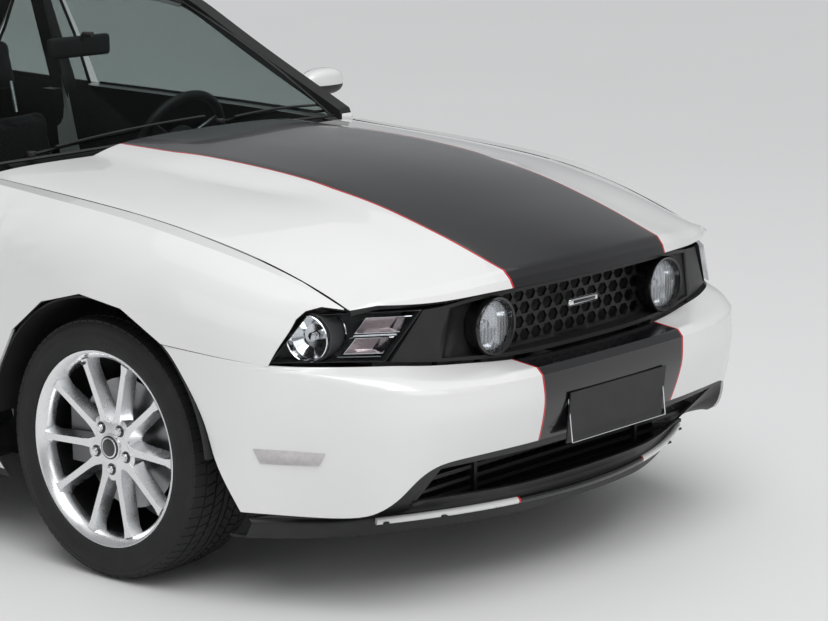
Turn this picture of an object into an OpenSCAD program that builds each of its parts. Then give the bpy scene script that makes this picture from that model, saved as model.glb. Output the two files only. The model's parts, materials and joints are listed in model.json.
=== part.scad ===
// Two-door muscle coupe at full size, built from its real pieces.
// The car faces -Y, +X is its left side, and it stands on z = 0.

/* [Overall size] */
// Distance between the axles
wheelbase = 2720; // [2260:10:3270]
// From the nose to the front axle
front_overhang = 965; // [800:5:1160]
// From the rear axle to the tail
rear_overhang = 1093; // [910:5:1320]
// Width over the rear haunches, without mirrors
body_w = 1877; // [1560:1:2260]
// Height of the roof above the floor
body_h = 1407; // [1330:1:1700]

/* [Wheels] */
// Outer radius of a tyre
tyre_r = 339; // [280:1:410]
// Width of a tyre
tyre_w = 245; // [200:1:275]
// Radius of the rim at its outer lip
rim_r = 254; // [212:1:262]
// Distance between the middles of the two tyres on one axle
track = 1546; // [1500:2:1620]
// Radius of the front brake disc
disc_r = 168; // [140:1:190]
// Gap between the tyre and the edge of its wheel arch
arch_gap = 63; // [50:1:80]

/* [Panels] */
// Thickness of the outer metal panels with their frames
panel_t = 12; // [8:1:20]
// Thickness of a whole door
door_t = 105; // [80:1:130]
// Gap between two panels that move apart
panel_gap = 7; // [6:0.5:10]
// Thickness of the window glass
glass_t = 5; // [4:0.5:8]

/* [Cabin] */
// Distance of each front seat's middle from the car's middle
seat_x = 360; // [330:5:400]
// Width of a front seat
seat_w = 500; // [440:5:540]
// Outer diameter of the steering wheel
wheel_d = 375; // [340:5:400]

/* [Hidden] */
$fn = 48;

// ---- Scaling from the reference form to the set sizes ----
// A station is a distance along the reference form, whose front axle is at 940.
ref_nose = -25;
ref_front = 940;
ref_rear = 3660;
ref_tail = 4753;
ref_w = 1877;
ref_h = 1407;
front_y = front_overhang - (front_overhang + wheelbase + rear_overhang) / 2;
rear_y = front_y + wheelbase;
kx = body_w / ref_w;
kz = body_h / ref_h;
function along(s) =
    s < ref_front ? front_y - (ref_front - s) * front_overhang / (ref_front - ref_nose)
    : s < ref_rear ? front_y + (s - ref_front) * wheelbase / (ref_rear - ref_front)
    : rear_y + (s - ref_rear) * rear_overhang / (ref_tail - ref_rear);
function place(p) = [p.x * kx, along(p.y), p.z * kz];
// The arch and the wheel height in the reference form's own measure
arch_z = tyre_r / kz;
arch_r = tyre_r + arch_gap;

// ---- Curves and grids ----
function mix(a, b, t) = a + (b - a) * t;
function clamp(t) = max(0, min(1, t));
function ease(t) = let(c = clamp(t)) c * c * (3 - 2 * c);
function unit(v) = v / norm(v);
// Slope of a rail at knot i, weighted by the spacing of its neighbours
function chord(r, i) = (r[i + 1][1] - r[i][1]) / (r[i + 1][0] - r[i][0]);
function knot_slope(r, i) =
    i == 0 ? chord(r, 0)
    : i == len(r) - 1 ? chord(r, i - 1)
    : let(a = r[i][0] - r[i - 1][0], b = r[i + 1][0] - r[i][0])
        (chord(r, i - 1) * b + chord(r, i) * a) / (a + b);
// A smooth curve through [position, value] knots
function rail(r, s) =
    let(i = max([0, for (k = [1:1:len(r) - 2]) if (s >= r[k][0]) k]),
        h = r[i + 1][0] - r[i][0],
        t = clamp((s - r[i][0]) / h))
    (2 * pow(t, 3) - 3 * t * t + 1) * r[i][1] + (pow(t, 3) - 2 * t * t + t) * h * knot_slope(r, i)
    + (3 * t * t - 2 * pow(t, 3)) * r[i + 1][1] + (pow(t, 3) - t * t) * h * knot_slope(r, i + 1);
// A column of a rail table: [[position, value a, value b], ...]
function pick(r, k) = [for (p = r) [p[0], p[k]]];

function normal_at(g, i, j) =
    unit(cross(g[min(i + 1, len(g) - 1)][j] - g[max(i - 1, 0)][j],
        g[i][min(j + 1, len(g[0]) - 1)] - g[i][max(j - 1, 0)]));
function inset(g, t) =
    [for (i = [0:len(g) - 1]) [for (j = [0:len(g[0]) - 1]) g[i][j] - t * normal_at(g, i, j)]];
function moved(g, v) = [for (row = g) [for (p = row) p + v]];
function placed(g) = [for (row = g) [for (p = row) place(p)]];
function halves(q) = [[q[0], q[1], q[2]], [q[0], q[2], q[3]]];
// Mirrors a half grid about the car's middle, whose first column lies on it
function both_sides(g) =
    concat([for (i = [len(g) - 1:-1:1]) [for (p = g[i]) [-p.x, p.y, p.z]]], g);
// A closed wall between an outer and an inner grid. Cells in rows of cut[0] and
// columns of cut[1], each [first, last], are left open.
module wall(outer, inner, cut = [[1, 0], [1, 0]]) {
    n = len(outer) - 1;
    m = len(outer[0]) - 1;
    size = (n + 1) * (m + 1);
    function at(i, j) = i * (m + 1) + j;
    function kept(i, j) = i >= 0 && i < n && j >= 0 && j < m
        && !(i >= cut[0][0] && i <= cut[0][1] && j >= cut[1][0] && j <= cut[1][1]);
    function side(a, b) = halves([b, a, a + size, b + size]);
    polyhedron(
        points = [for (g = [outer, inner]) for (row = g) for (p = row) p],
        faces = [for (i = [0:n - 1]) for (j = [0:m - 1]) if (kept(i, j))
            let(a = at(i, j), b = at(i, j + 1), c = at(i + 1, j + 1), d = at(i + 1, j))
            for (f = concat(halves([a, b, c, d]),
                halves([a + size, d + size, c + size, b + size]),
                kept(i - 1, j) ? [] : side(a, b), kept(i, j + 1) ? [] : side(b, c),
                kept(i + 1, j) ? [] : side(c, d), kept(i, j - 1) ? [] : side(d, a))) f]);
}
module both() {
    children();
    mirror([1, 0, 0]) children();
}
module on_side(side) {
    mirror([side == "right" ? 1 : 0, 0, 0]) children();
}
// A closed block between two grids of the same size, from one corner list to another
function sheet(a, b, c, d, n, m, bulge = [0, 0, 0]) =
    [for (i = [0:n]) [for (j = [0:m]) let(u = i / n, v = j / m)
        mix(mix(a, b, u), mix(d, c, u), v) + bulge * 16 * u * (1 - u) * v * (1 - v)]];

// ---- Body side ----
// Stations, then the half width and the height of the line where the top panels or
// the glass meet the body side
gap_line = [[240, 731, 757], [300, 731, 781], [400, 734, 816], [500, 743, 848], [600, 753, 873],
    [700, 757, 892], [800, 757, 908], [900, 755, 920], [1150, 749, 940], [1460, 740, 960],
    [1600, 742, 968], [1900, 766, 976], [2300, 784, 984], [2800, 786, 994], [3200, 772, 1008],
    [3600, 735, 1036], [3900, 668, 1066], [4100, 640, 1076], [4400, 622, 1088], [4660, 600, 1094]];
// Width of the flat ledge beside that line, out to the shoulder crease
ledge_line = [[240, 1], [400, 18], [600, 46], [1000, 52], [1500, 40], [2300, 26], [3300, 30],
    [4000, 60], [4660, 60]];
// Greatest half width of the body side
waist_line = [[240, 770], [325, 812], [390, 846], [491, 882], [600, 903], [700, 914], [940, 917],
    [1342, 911], [1600, 906], [2100, 903], [2700, 905], [3100, 918], [3400, 933], [3660, 938.5],
    [3950, 933], [4200, 912], [4360, 880], [4440, 856], [4540, 814], [4660, 740]];
// Height from the shoulder crease down to the greatest width
drop_line = [[240, 130], [390, 180], [700, 190], [1400, 180], [2800, 185], [3660, 250], [4660, 260]];
// Inward lean of the lower body by height
tuck_line = [[180, 78], [215, 50], [260, 24], [320, 9], [420, 8], [560, 6], [660, 2], [720, 0]];
crease_angle = 24;
flare_out = 6;
flare_w = 62;
scoop = 11;
scoop_top = 806;
scoop_edge = 778;
function gap_x(s) = rail(pick(gap_line, 1), s);
function gap_z(s) = rail(pick(gap_line, 2), s);
function peak_x(s) = gap_x(s) + rail(ledge_line, s);
function peak_z(s) = gap_z(s) - 2;
function arch_dist(s, z) = let(c = s < 2300 ? ref_front : ref_rear) norm([s - c, z - arch_z]);
function flare(s, z) = flare_out * (1 - ease((arch_dist(s, z) - arch_r) / flare_w));
// The long hollow below the spear line, from behind the front arch to the rear haunch
function hollow(s, z) =
    scoop * ease((s - 1180) / 260) * (1 - ease((s - 2900) / 320))
    * (z > scoop_edge ? 1 - ease((z - scoop_edge) / (scoop_top - scoop_edge))
        : 1 - ease((scoop_edge - z) / 330));
function side_x(s, z) =
    let(px = peak_x(s), w = rail(waist_line, s), drop = rail(drop_line, s),
        t = clamp((peak_z(s) - z) / drop), a = acos(cos(crease_angle) * (1 - t)))
    px + (w - px) * (sin(a) - sin(crease_angle)) / (1 - sin(crease_angle))
    - (z < 720 ? rail(tuck_line, z) : 0) + flare(s, z) - hollow(s, z);
function side_p(s, z) = [side_x(s, z), s, z];
// A row of a body-side grid: 0 is the gap line, 1 the crease, and more goes down to mid_z
function row_p(s, g, mid_z) =
    g < 0 ? [gap_x(s), s, gap_z(s)] : side_p(s, mix(peak_z(s), mid_z, g));
function arch_top(s, centre) =
    arch_z + sqrt(max(0, pow(arch_r, 2) - pow(s - centre, 2)));

// Front fender
fender_rows = [-1, 0, 0.1, 0.22, 0.35, 0.5, 0.64, 0.78, 0.9, 1];
skirt_z = [305, 260, 215, 192];
seam_low = 621;
door_front = 1560;
door_rear = 2780;
seam_s = ref_front - sqrt(pow(arch_r, 2) - pow(649 - arch_z, 2));
fender_end = door_front - panel_gap;
arch_end = ref_front + arch_r;
// The fender's front edge runs along the top and outer edge of the headlight
fender_tip = [[0, 258], [0.1, 300], [0.22, 330], [0.5, 350], [1, 394]];
fender_s = concat([0, 0.3, 0.6], [for (a = [0:6]) ref_front - arch_r * cos(
    mix(acos((ref_front - seam_s) / arch_r), 180, a / 6) )], [1390, 1440, 1496, fender_end]);
function front_mid(s) = s < seam_s ? mix(seam_low, 649, (s - 394) / (seam_s - 394))
    : s < arch_end ? arch_top(s, ref_front) : arch_z;
function fender_point(k, g) =
    k > 2 ? row_p(fender_s[k], g, front_mid(fender_s[k]))
    : let(tip = g <= 0 ? 250 : rail(fender_tip, g), s = mix(tip, seam_s, fender_s[k]))
        row_p(s, g, front_mid(max(s, 394)));
fender_outer = placed([for (g = fender_rows) [for (k = [0:len(fender_s) - 1]) fender_point(k, g)]]);
fender_cols = len(fender_s) - 1;
skirt_outer = placed([for (z = concat([arch_z], skirt_z))
    [for (k = [9:fender_cols]) side_p(fender_s[k], z)]]);
fender_grid = concat(fender_outer, [for (r = [1:len(skirt_z)]) [for (k = [0:fender_cols])
    k < 9 ? fender_outer[len(fender_rows) - 1][k] + [0, 0, -r] : skirt_outer[r][k - 9]]]);
module front_fender(side) {
    color("white") on_side(side) wall(fender_grid, inset(fender_grid, panel_t * 0.6),
        [[len(fender_rows) - 1, 99], [0, 8]]);
}

// ---- Hood ----
// Each column: stations, half widths and heights from the front lip back to the rear edge
hood_columns = [
    [[45, 0, 771], [50, 0, 788], [62, 0, 806], [79, 0, 823], [155, 0, 860], [269, 0, 900],
        [385, 0, 930], [497, 0, 961], [626, 0, 987], [792, 0, 1007], [964, 0, 1019],
        [1200, 0, 1027], [1415, 0, 1030]],
    [[56, 160, 771], [62, 162, 790], [80, 164, 812], [130, 166, 839], [240, 168, 882],
        [385, 170, 924], [497, 170, 954], [626, 171, 980], [792, 172, 1000], [964, 171, 1014],
        [1200, 171, 1024], [1420, 171, 1028]],
    [[70, 317, 770], [80, 319, 794], [120, 322, 818], [200, 326, 848], [300, 334, 882],
        [400, 336, 910], [500, 338, 938], [600, 341, 959], [700, 343, 974], [800, 343, 987],
        [1000, 341, 1004], [1200, 341, 1013], [1432, 341, 1020]],
    [[88, 400, 768], [98, 398, 790], [130, 394, 808], [200, 384, 834], [300, 374, 870],
        [400, 370, 901], [560, 374, 943], [680, 402, 949], [814, 432, 954], [1000, 446, 969],
        [1210, 443, 984], [1432, 440, 992]],
    [[120, 502, 760], [130, 500, 778], [165, 499, 798], [250, 498, 834], [400, 505, 882],
        [560, 522, 918], [700, 538, 938], [1000, 550, 963], [1465, 552, 987]],
    [[152, 600, 762], [162, 601, 777], [195, 606, 793], [260, 614, 813], [400, 628, 856],
        [560, 640, 891], [700, 650, 917], [1000, 655, 948], [1500, 650, 979]],
    [[190, 678, 768], [200, 680, 775], [225, 684, 781], [270, 690, 789], [400, 702, 829],
        [560, 714, 869], [700, 723, 901], [1000, 724, 936], [1525, 714, 967]]];
hood_steps = [0, 0.006, 0.02, 0.045, 0.085, 0.145, 0.22, 0.31, 0.42, 0.55, 0.7, 0.85, 1];
hood_rear = 1535;
hood_t = 18;
function column_p(c, t) =
    let(s = mix(c[0][0], c[len(c) - 1][0], t)) [rail(pick(c, 1), s), s, rail(pick(c, 2), s)];
hood_half = concat([for (c = hood_columns) [for (t = hood_steps) column_p(c, t)]],
    [[for (t = hood_steps) let(s = mix(238, hood_rear, t)) [gap_x(s) - panel_gap / kx, s, gap_z(s)]]]);
module hood() {
    g = placed(both_sides(hood_half));
    color("white") wall(g, inset(g, hood_t));
}

// ---- Front bumper cover ----
// Plan curve at its fullest height: column number, half width, station
nose_line = [[0, 0, -17], [1, 150, -16], [2, 300, -10], [3, 400, 2], [4, 500, 20], [5, 580, 43],
    [6, 645, 74], [7, 701, 118], [8, 755, 186], [9, 802, 280], [10, 846, 390], [11, 882, 491],
    [12, 903, 600], [13, 914, 700]];
// By column: top height, depth back from the plan curve there, shelf edge height and
// depth, crease height, lower edge height and depth
nose_form = [[0, 584, 96, 577, 24, 534, 389, 35], [1, 584, 98, 577, 24, 534, 389, 35],
    [2, 586, 101, 577, 24, 534, 389, 34], [3, 594, 100, 577, 24, 535, 389, 32],
    [4, 601, 103, 578, 26, 537, 388, 29], [5, 608, 95, 581, 25, 540, 385, 26],
    [6, 614, 87, 585, 23, 543, 360, 26], [7, 620, 72, 591, 20, 546, 292, 32],
    [8, 621, 55, 598, 16, 550, 254, 36], [9, 621, 30, 606, 10, 555, 250, 34],
    [10, 620, 0, 611, 1, 560, 250, 30], [11, 630, 0, 618, 0, 565, 250, 24],
    [12, 639, 0, 624, 0, 570, 250, 14], [13, 648, 0, 630, 0, 575, 250, 8]];
function nose_xy(t) = [rail(pick(nose_line, 1), t), rail(pick(nose_line, 2), t)];
function nose_out(t) = let(d = unit(nose_xy(min(13, t + 0.05)) - nose_xy(max(0, t - 0.05)))) [d.y, -d.x];
function nose_p(t, depth, z) = let(p = nose_xy(t) - depth * nose_out(t)) [p.x, p.y, z];
function nose_val(t, k) = rail(pick(nose_form, k), t);
function nose_row(t, v) = let(low = [nose_val(t, 6), nose_val(t, 7)],
        crease = [nose_val(t, 5), 0], edge = [nose_val(t, 3), nose_val(t, 4)],
        top = [nose_val(t, 1), nose_val(t, 2)])
    v < 5 ? [mix(low[0], crease[0], v / 5), low[1] * pow(1 - v / 5, 1.6)]
    : v < 6 ? [mix(crease[0], edge[0], 0.6), edge[1] * 0.32]
    : v < 7 ? edge : mix(edge, top, (v - 6) / 2);
arch_nose = [[250, 478], [293, 491], [arch_z, ref_front - arch_r]];
// Station where the front arch cuts the body at a height
function arch_front(z) = z < arch_z ? rail(arch_nose, z)
    : ref_front - sqrt(max(0, pow(arch_r, 2) - pow(z - arch_z, 2)));
nose_steps = [0, 0.5, 1, 1.5, 2, 2.5, 3, 4, 5, 5.6, 6.2, 6.8, 7.4, 8, 9, 10];
arch_steps = [0.35, 0.7, 1];
nose_cols = len(nose_steps) + len(arch_steps);
function nose_point(i, v) =
    i < len(nose_steps) ? let(t = nose_steps[i], r = nose_row(t, v)) nose_p(t, r[1], r[0])
    : let(w = arch_steps[i - len(nose_steps)], far = rail([[390, 10], [491, 11], [600, 12], [700, 13]],
            min(690, arch_front(nose_row(10 + 3 * w, v)[0]))),
        t = mix(10, far, w), r = nose_row(t, v)) nose_p(t, r[1], r[0]);
nose_half = [for (i = [0:nose_cols - 1]) [for (v = [0:8]) nose_point(i, v)]];
bumper_t = 6;
module front_bumper() {
    g = placed(both_sides(nose_half));
    color("white") wall(g, inset(g, bumper_t));
}

// Chin: column number, then half width and station of the lip
chin_line = [[0, 0, 95], [1, 140, 99], [2, 280, 116], [3, 372, 146], [4, 465, 184], [5, 545, 222],
    [6, 612, 258], [7, 672, 292], [8, 735, 340], [9, 795, 410], [10, 840, 478]];
trim_steps = [0, 0.5, 1, 1.5, 2, 3, 4, 5, 5.6, 6.2, 6.8, 7.4, 8, 9, 10];
// Rows of the lower trim from its top down: share of the way down to the lip
function chin_xy(t) = [rail(pick(chin_line, 1), t), rail(pick(chin_line, 2), t)];
function trim_point(t, v) =
    let(top = nose_p(t, nose_val(t, 7) + 7, nose_val(t, 6) - 0.5), c = chin_xy(t), lip = 232)
    v == 0 ? top : v == 1 ? mix(top, [c.x, c.y - 4, lip], 0.14)
    : v == 2 ? mix(top, [c.x, c.y - 4, lip], 0.8) : v == 3 ? [c.x, c.y - 4, min(lip, top.z - 8)]
    : v == 4 ? [c.x, c.y - 16, 224] : v == 5 ? [c.x, c.y - 4, 200]
    : v == 6 ? [c.x, c.y + 8, 182] : [c.x, c.y + 60, 178];
trim_half = [for (t = trim_steps) [for (v = [7:-1:0]) trim_point(t, v)]];
module lower_front_trim() {
    g = placed(both_sides(trim_half));
    color("dimgray") {
        wall(g, inset(g, bumper_t), [[7, 20], [5, 5]]);
        for (i = [0:4]) translate([-560 * kx, along(186), (252 + 26 * i) * kz])
            cube([1120 * kx, 12, 10]);
        both() translate([330 * kx, along(176), 246 * kz]) cube([12, 40, 132 * kz]);
    }
}

// ---- Grille, lamps and headlights ----
lamp_x = 352;
lamp_z = 678;
lamp_r = 60;
bezel_r = 73;
mesh_pitch = 46;
// Surround: low and high half widths of each column, then the rows between shelf and hood
face_cols = [[0, 0], [150, 150], [300, 300], [400, 395], [470, 450], [512, 484], [560, 516],
    [606, 540], [648, 562]];
face_rows = [0, 0.06, 0.94, 1];
function face_s(x) = rail([[0, 84], [300, 98], [420, 116], [500, 134], [570, 152], [660, 184]], x);
function face_z(x, v) = mix(rail([[0, 592], [300, 593], [420, 603], [512, 611], [650, 628]], x),
    rail([[0, 762], [300, 761], [420, 757], [500, 746.5], [570, 744]], x), v);
face_half = [for (c = face_cols) [for (v = face_rows) let(x = mix(c[0], c[1], v)) [x, face_s(x), face_z(x, v)]]];
mesh_s = 150;
module grille() {
    g = placed(both_sides(face_half));
    color("black") {
        wall(g, moved(g, [0, 56, 0]), [[3, 12], [1, 1]]);
        // Feet on the bumper beam
        both() translate(place([330, mesh_s - 6, 520])) cube([24, along(164) - along(mesh_s) + 6, 84 * kz]);
        translate([0, along(mesh_s), 0]) rotate([90, 0, 0]) linear_extrude(8) difference() {
            polygon([[-520 * kx, 598 * kz], [520 * kx, 598 * kz], [490 * kx, 752 * kz],
                [-490 * kx, 752 * kz]]);
            for (i = [-6:6]) for (j = [0:3])
                translate([(i + (j % 2) / 2) * mesh_pitch * kx, (625 + j * 34) * kz])
                    scale([1.25, 1]) circle(r = 17, $fn = 6);
            both() translate([lamp_x * kx, lamp_z * kz]) circle(r = bezel_r - 4.7);
        }
    }
}
module grille_lamps() {
    color("gainsboro") both() translate([lamp_x * kx, along(mesh_s) + 40, lamp_z * kz]) rotate([90, 0, 0])
        rotate_extrude() polygon([[0, 0], [bezel_r - 5, 0], [bezel_r - 5, 60], [lamp_r, 48],
            [lamp_r, 62], [lamp_r * 0.6, 68], [0, 70]]);
}
lamp_corners = [[839, 390, 625], [667, 176, 628], [580, 136, 749], [779, 323, 744]];
module headlights() {
    c = lamp_corners;
    front = placed(sheet(c[1], c[0], c[3], c[2], 4, 3, [10, -10, 0]));
    color("lightgray") both() wall(front, moved(front, [-10, 95, 0]));
}
module number_plate() {
    color("black") translate([-200, along(0), 370 * kz]) rotate([6, 0, 0])
        translate([0, -4, 0]) cube([400, 4, 131]);
}

// ---- Cowl, windshield, roof and rear window ----
glass_low_f = [[0, 1472, 1006], [350, 1486, 1000], [560, 1530, 990], [681, 1576, 981]];
glass_top_f = [[0, 2150, 1374], [300, 2130, 1366], [450, 2095, 1344], [528, 2062, 1316]];
glass_top_r = [[0, 3150, 1356], [300, 3140, 1348], [420, 3125, 1334], [475, 3110, 1322]];
glass_low_r = [[0, 3888, 1086], [300, 3872, 1084], [500, 3820, 1076], [588.5, 3766, 1066]];
function edge_p(e, u) = let(x = u * e[3][0]) [x, rail(pick(e, 1), x), rail(pick(e, 2), x)];
function pane(low, top, n, m, bow) = [for (i = [0:n]) [for (j = [0:m]) let(v = j / m)
    mix(edge_p(low, i / n), edge_p(top, i / n), v) + [6 * i / n, 0, bow] * 4 * v * (1 - v)]];
module windshield() {
    g = placed(both_sides(pane(glass_low_f, glass_top_f, 5, 6, 16)));
    color("slategray", 0.5) wall(g, inset(g, glass_t));
}
module rear_window() {
    g = placed(both_sides([for (row = pane(glass_low_r, glass_top_r, 4, 5, 14)) [for (j = [5:-1:0]) row[j]]]));
    color("slategray", 0.5) wall(g, inset(g, glass_t));
}
cowl_steps = [0, 0.2, 0.4, 0.5, 0.6, 0.8, 1];
function rear_of_hood(x) = rail([[0, 1415], [171, 1420], [341, 1432], [440, 1432], [552, 1465],
    [650, 1500], [714, 1525]], x);
function under_hood(x) = rail([[0, 1030], [341, 1020], [440, 992], [552, 987], [650, 979],
    [714, 970]], x) - 34;
cowl_half = 622;
firewall_top = 900;
firewall_s = 1470;
module cowl() {
    g = placed(both_sides([for (u = cowl_steps) let(x = u * cowl_half, low = edge_p(glass_low_f, x / glass_low_f[3][0]))
        [[x, firewall_s - 4, firewall_top - 1], [x, rear_of_hood(x) - 34, under_hood(x)],
            low + [0, -6, -20], low + [0, 26, -6]]]));
    color("black") wall(g, moved(g, [0, 16, -10]));
}
// Roof height at its middle and drop to its edge
roof_mid = [[2150, 1374], [2300, 1396], [2550, 1407], [2800, 1402], [3000, 1384], [3150, 1356]];
roof_edge = [[2060, 1312], [2300, 1346], [2550, 1356], [2800, 1351], [3000, 1336], [3110, 1318]];
roof_edge_x = [[2060, 529.2], [2300, 525.2], [2600, 527.3], [2900, 505.6], [3060, 483.6], [3110, 476.7]];
function roof_p(u, v) =
    let(front = edge_p(glass_top_f, u), back = edge_p(glass_top_r, u),
        s = mix(front.y, back.y, v), mid = rail(roof_mid, mix(2150, 3150, v)),
        edge = rail(roof_edge, mix(2060, 3110, v)))
    [u * rail(roof_edge_x, mix(2060, 3110, v)), s, mix(mid, edge, pow(u, 3.2))];
module roof() {
    g = placed(both_sides([for (u = [0, 0.22, 0.45, 0.65, 0.82, 0.93, 1])
        [for (v = [0.012, 0.08, 0.2, 0.4, 0.6, 0.8, 0.92, 0.988]) roof_p(u, v)]]));
    color("white") wall(g, inset(g, panel_t * 1.5));
}

// ---- Doors ----
side_z = [scoop_top, scoop_edge, 690, 590, 480, 390, 338];
door_taper = 0.028;
// Share of the door's thickness left at each row from the glass down
door_depth = [0.62, 0.66, 0.8, 0.95];
function side_column(s, low) = concat([row_p(s, -1, 0), row_p(s, 0, 0)],
    [for (g = [0.12, 0.3, 0.55, 0.8]) side_p(s, mix(peak_z(s), scoop_top, g))],
    [for (z = low) side_p(s, z)]);
door_s = [door_front, 1610, 1710, 1850, 2050, 2250, 2450, 2620, 2730, door_rear];
function turned(g) = [for (j = [0:len(g[0]) - 1]) [for (i = [0:len(g) - 1]) g[i][j]]];
module door(side) {
    g = turned([for (s = door_s) side_column(s, side_z)]);
    inner = [for (i = [0:len(g) - 1]) [for (p = g[i])
        [p.x - door_t / kx * (i < 4 ? door_depth[i] : 1), p.y - (p.y - door_front) * door_taper, p.z]]];
    color("white") on_side(side) wall(placed(g), placed(inner));
}
// Upper edge of the door glass, by the station of the lower edge below it
glass_rim = [[1610, 731, 1634, 993], [1850, 662, 1872, 1148], [2050, 592, 2090, 1290],
    [2250, 584, 2270, 1322], [2450, 582, 2450, 1331], [2730, 577, 2690, 1330]];
function rim_p(s) = [for (k = [1:3]) rail(pick(glass_rim, k), s)];
function glass_foot(s, back = 14) = [gap_x(s) - back, s, gap_z(s) + 0.5];
module door_glass(side) {
    g = placed([for (i = [1:8]) [for (j = [0:3])
        mix(glass_foot(door_s[i]), rim_p(door_s[i]), j / 3) + [8 * sin(60 * j), 0, 0]]]);
    color("slategray", 0.5) on_side(side) wall(g, moved(g, [-glass_t, 0, 0]));
}
mirror_p = [926, 1858, 1045];
mirror_foot_s = 1800;
module door_mirror(side) {
    foot = [peak_x(mirror_foot_s) - 12, mirror_foot_s, gap_z(mirror_foot_s) - 0.3];
    color("white") on_side(side) {
        translate(place(mirror_p)) scale([1.56, 0.8, 0.8]) sphere(r = 56, $fn = 24);
        hull() {
            translate(place(foot)) cylinder(r = 13, h = 8, $fn = 24);
            translate(place(mirror_p + [-60, -10, -20])) sphere(r = 16, $fn = 16);
        }
    }
}

// ---- Body sides ----
quarter_start = door_rear + panel_gap;
rear_seam_z = 690;
rear_seam_s = ref_rear + sqrt(pow(arch_r, 2) - pow(rear_seam_z - arch_z, 2));
rear_angle = acos((rear_seam_s - ref_rear) / arch_r);
quarter_arch = [for (a = [0:7]) ref_rear - arch_r * cos(mix(0, 180 - rear_angle, a / 7))];
quarter_s = concat([quarter_start, 2880, 3000, 3130], quarter_arch, [4000, 4150, 4300, 4430, 4540]);
quarter_rows = [-1, 0, 0.1, 0.22, 0.36, 0.53, 0.56, 0.68, 0.84, 1];
function rear_mid(s) = s > rear_seam_s ? rear_seam_z
    : s > ref_rear - arch_r ? arch_top(s, ref_rear) : arch_z;
// The rear corner bends in from the last station to the lid, and below it to the tail panel
corner_edge = [[690, 4674], [696, 4650], [866, 4647], [870, 4650], [985, 4630], [1070, 4612], [1100, 4600]];
corner_steps = [0.3, 0.6, 0.85, 1];
lid_z = 870;
corner_foot = 702;
function corner_in(p) = [p.x < 650 ? p.x - 6 : p.z > lid_z ? 603 : 624, rail(corner_edge, p.z),
    max(p.z, corner_foot)];
function corner_p(p, w) = let(q = corner_in(p), reach = 0.55 * (p.x - q.x),
        c = [q.x + reach, q.y - 0.375 * reach, q.z])
    pow(1 - w, 2) * p + 2 * w * (1 - w) * c + w * w * q;
quarter_outer = [for (g = quarter_rows) let(last = row_p(4540, g, rear_mid(4540)))
    concat([for (s = quarter_s) row_p(s, g, rear_mid(s))], [for (w = corner_steps) corner_p(last, w)])];
quarter_cols = len(quarter_s) + len(corner_steps) - 1;
quarter_skirt = [for (z = skirt_z) [for (k = [0:quarter_cols])
    let(p = quarter_outer[len(quarter_rows) - 1][k])
    k < 5 ? side_p(quarter_s[k], z) : [min(p.x, 900) - z / 99, p.y, z]]];
// Roof rail and pillars as a bent bar: outer line, then inward width and height of the bar
bar_w = 52;
function bar_ring(p, w) = [p, p + [-w, 0, -10], p + [-w - 8, 0, 26], p + [-14, 0, 30]];
pillar_path = [[734, 1547, 974], [736, 1600, 998], [700, 1730, 1078], [655, 1870, 1170],
    [612, 1990, 1258], [584, 2066, 1312], [580, 2200, 1338], [583, 2400, 1352], [583, 2600, 1354],
    [576, 2760, 1350], [560, 2920, 1343], [538, 3060, 1328]];
// A bar through rings of equal size, closed at both ends
module bar(rings) {
    n = len(rings) - 1;
    m = len(rings[0]);
    polyhedron(points = [for (r = rings) for (p = r) p],
        faces = concat([for (i = [0:n - 1]) for (j = [0:m - 1]) for (f = halves([i * m + j,
            (i + 1) * m + j, (i + 1) * m + (j + 1) % m, i * m + (j + 1) % m])) f],
            [for (j = [1:m - 2]) [0, j, j + 1]], [for (j = [1:m - 2]) [n * m, n * m + j + 1, n * m + j]]));
}
// Inner rear edge of the sail panel, beside the rear window
sail_top = [477.5, 3118, 1325];
sail_foot = [601, 3826, 1046];
module body_side(side) {
    rings = placed([for (p = pillar_path) bar_ring(p, bar_w)]);
    q = placed(concat(quarter_outer, quarter_skirt));
    sail = placed([for (j = [0:4]) concat([for (i = [0:4]) let(u = i / 4, v = j / 4,
        low = mix(3330, 3820, u), top = mix(2900, 3120, u))
        mix([mix(576, 520, u), top, mix(1352, 1330, u)], [gap_x(low) - 2, low, gap_z(low) + 2], v)
            + [26 * sin(180 * v), 0, 0]],
        [mix(sail_top, sail_foot, j / 4) + [6, 0, 14] * sin(45 * j)])]);
    color("white") on_side(side) {
        bar(rings);
        wall(q, inset(q, panel_t), [[len(quarter_rows) - 1, 99], [4, 99]]);
        wall(sail, inset(sail, panel_t * 2));
        // Sill below the door, and the two posts that carry the door
        translate(place([690, fender_end - 30, 196])) cube([122 * kx, 36, 122 * kz]);
        hull() {
            translate(place([690, fender_end + 4, 196])) cube([192 * kx, 4, 122 * kz]);
            translate(place([690, quarter_start + 60, 196])) cube([192 * kx, 4, 122 * kz]);
        }
        hull() {
            translate(place([690, fender_end - 46, 300])) cube([90, 40, 4]);
            translate(place([644, fender_end - 46, 926])) cube([84, 40, 4]);
        }
        translate(place([682, fender_end - 10, 900])) cube([50, 9, 88 * kz]);
        translate(place([760, fender_end - 40, 610]))
            cube([side_x(fender_end - 20, 625) * kx - 760 * kx - panel_t * 0.6 - 0.5, 30, 40]);
        translate(place([790, door_rear - 31.6, 415])) cube([12, 45, 15]);
        hull() {
            translate(place([680, quarter_start + 2, 250])) cube([160 * kx, 60, 4]);
            translate(place([620, quarter_start + 2, 980])) cube([60, 60, 4]);
        }
        hull() {
            translate(place([670, quarter_start + 2, 970])) cube([60, 60, 4]);
            translate(place([540, quarter_start - 30, 1346])) cube([30, 60, 4]);
        }
    }
}
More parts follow.
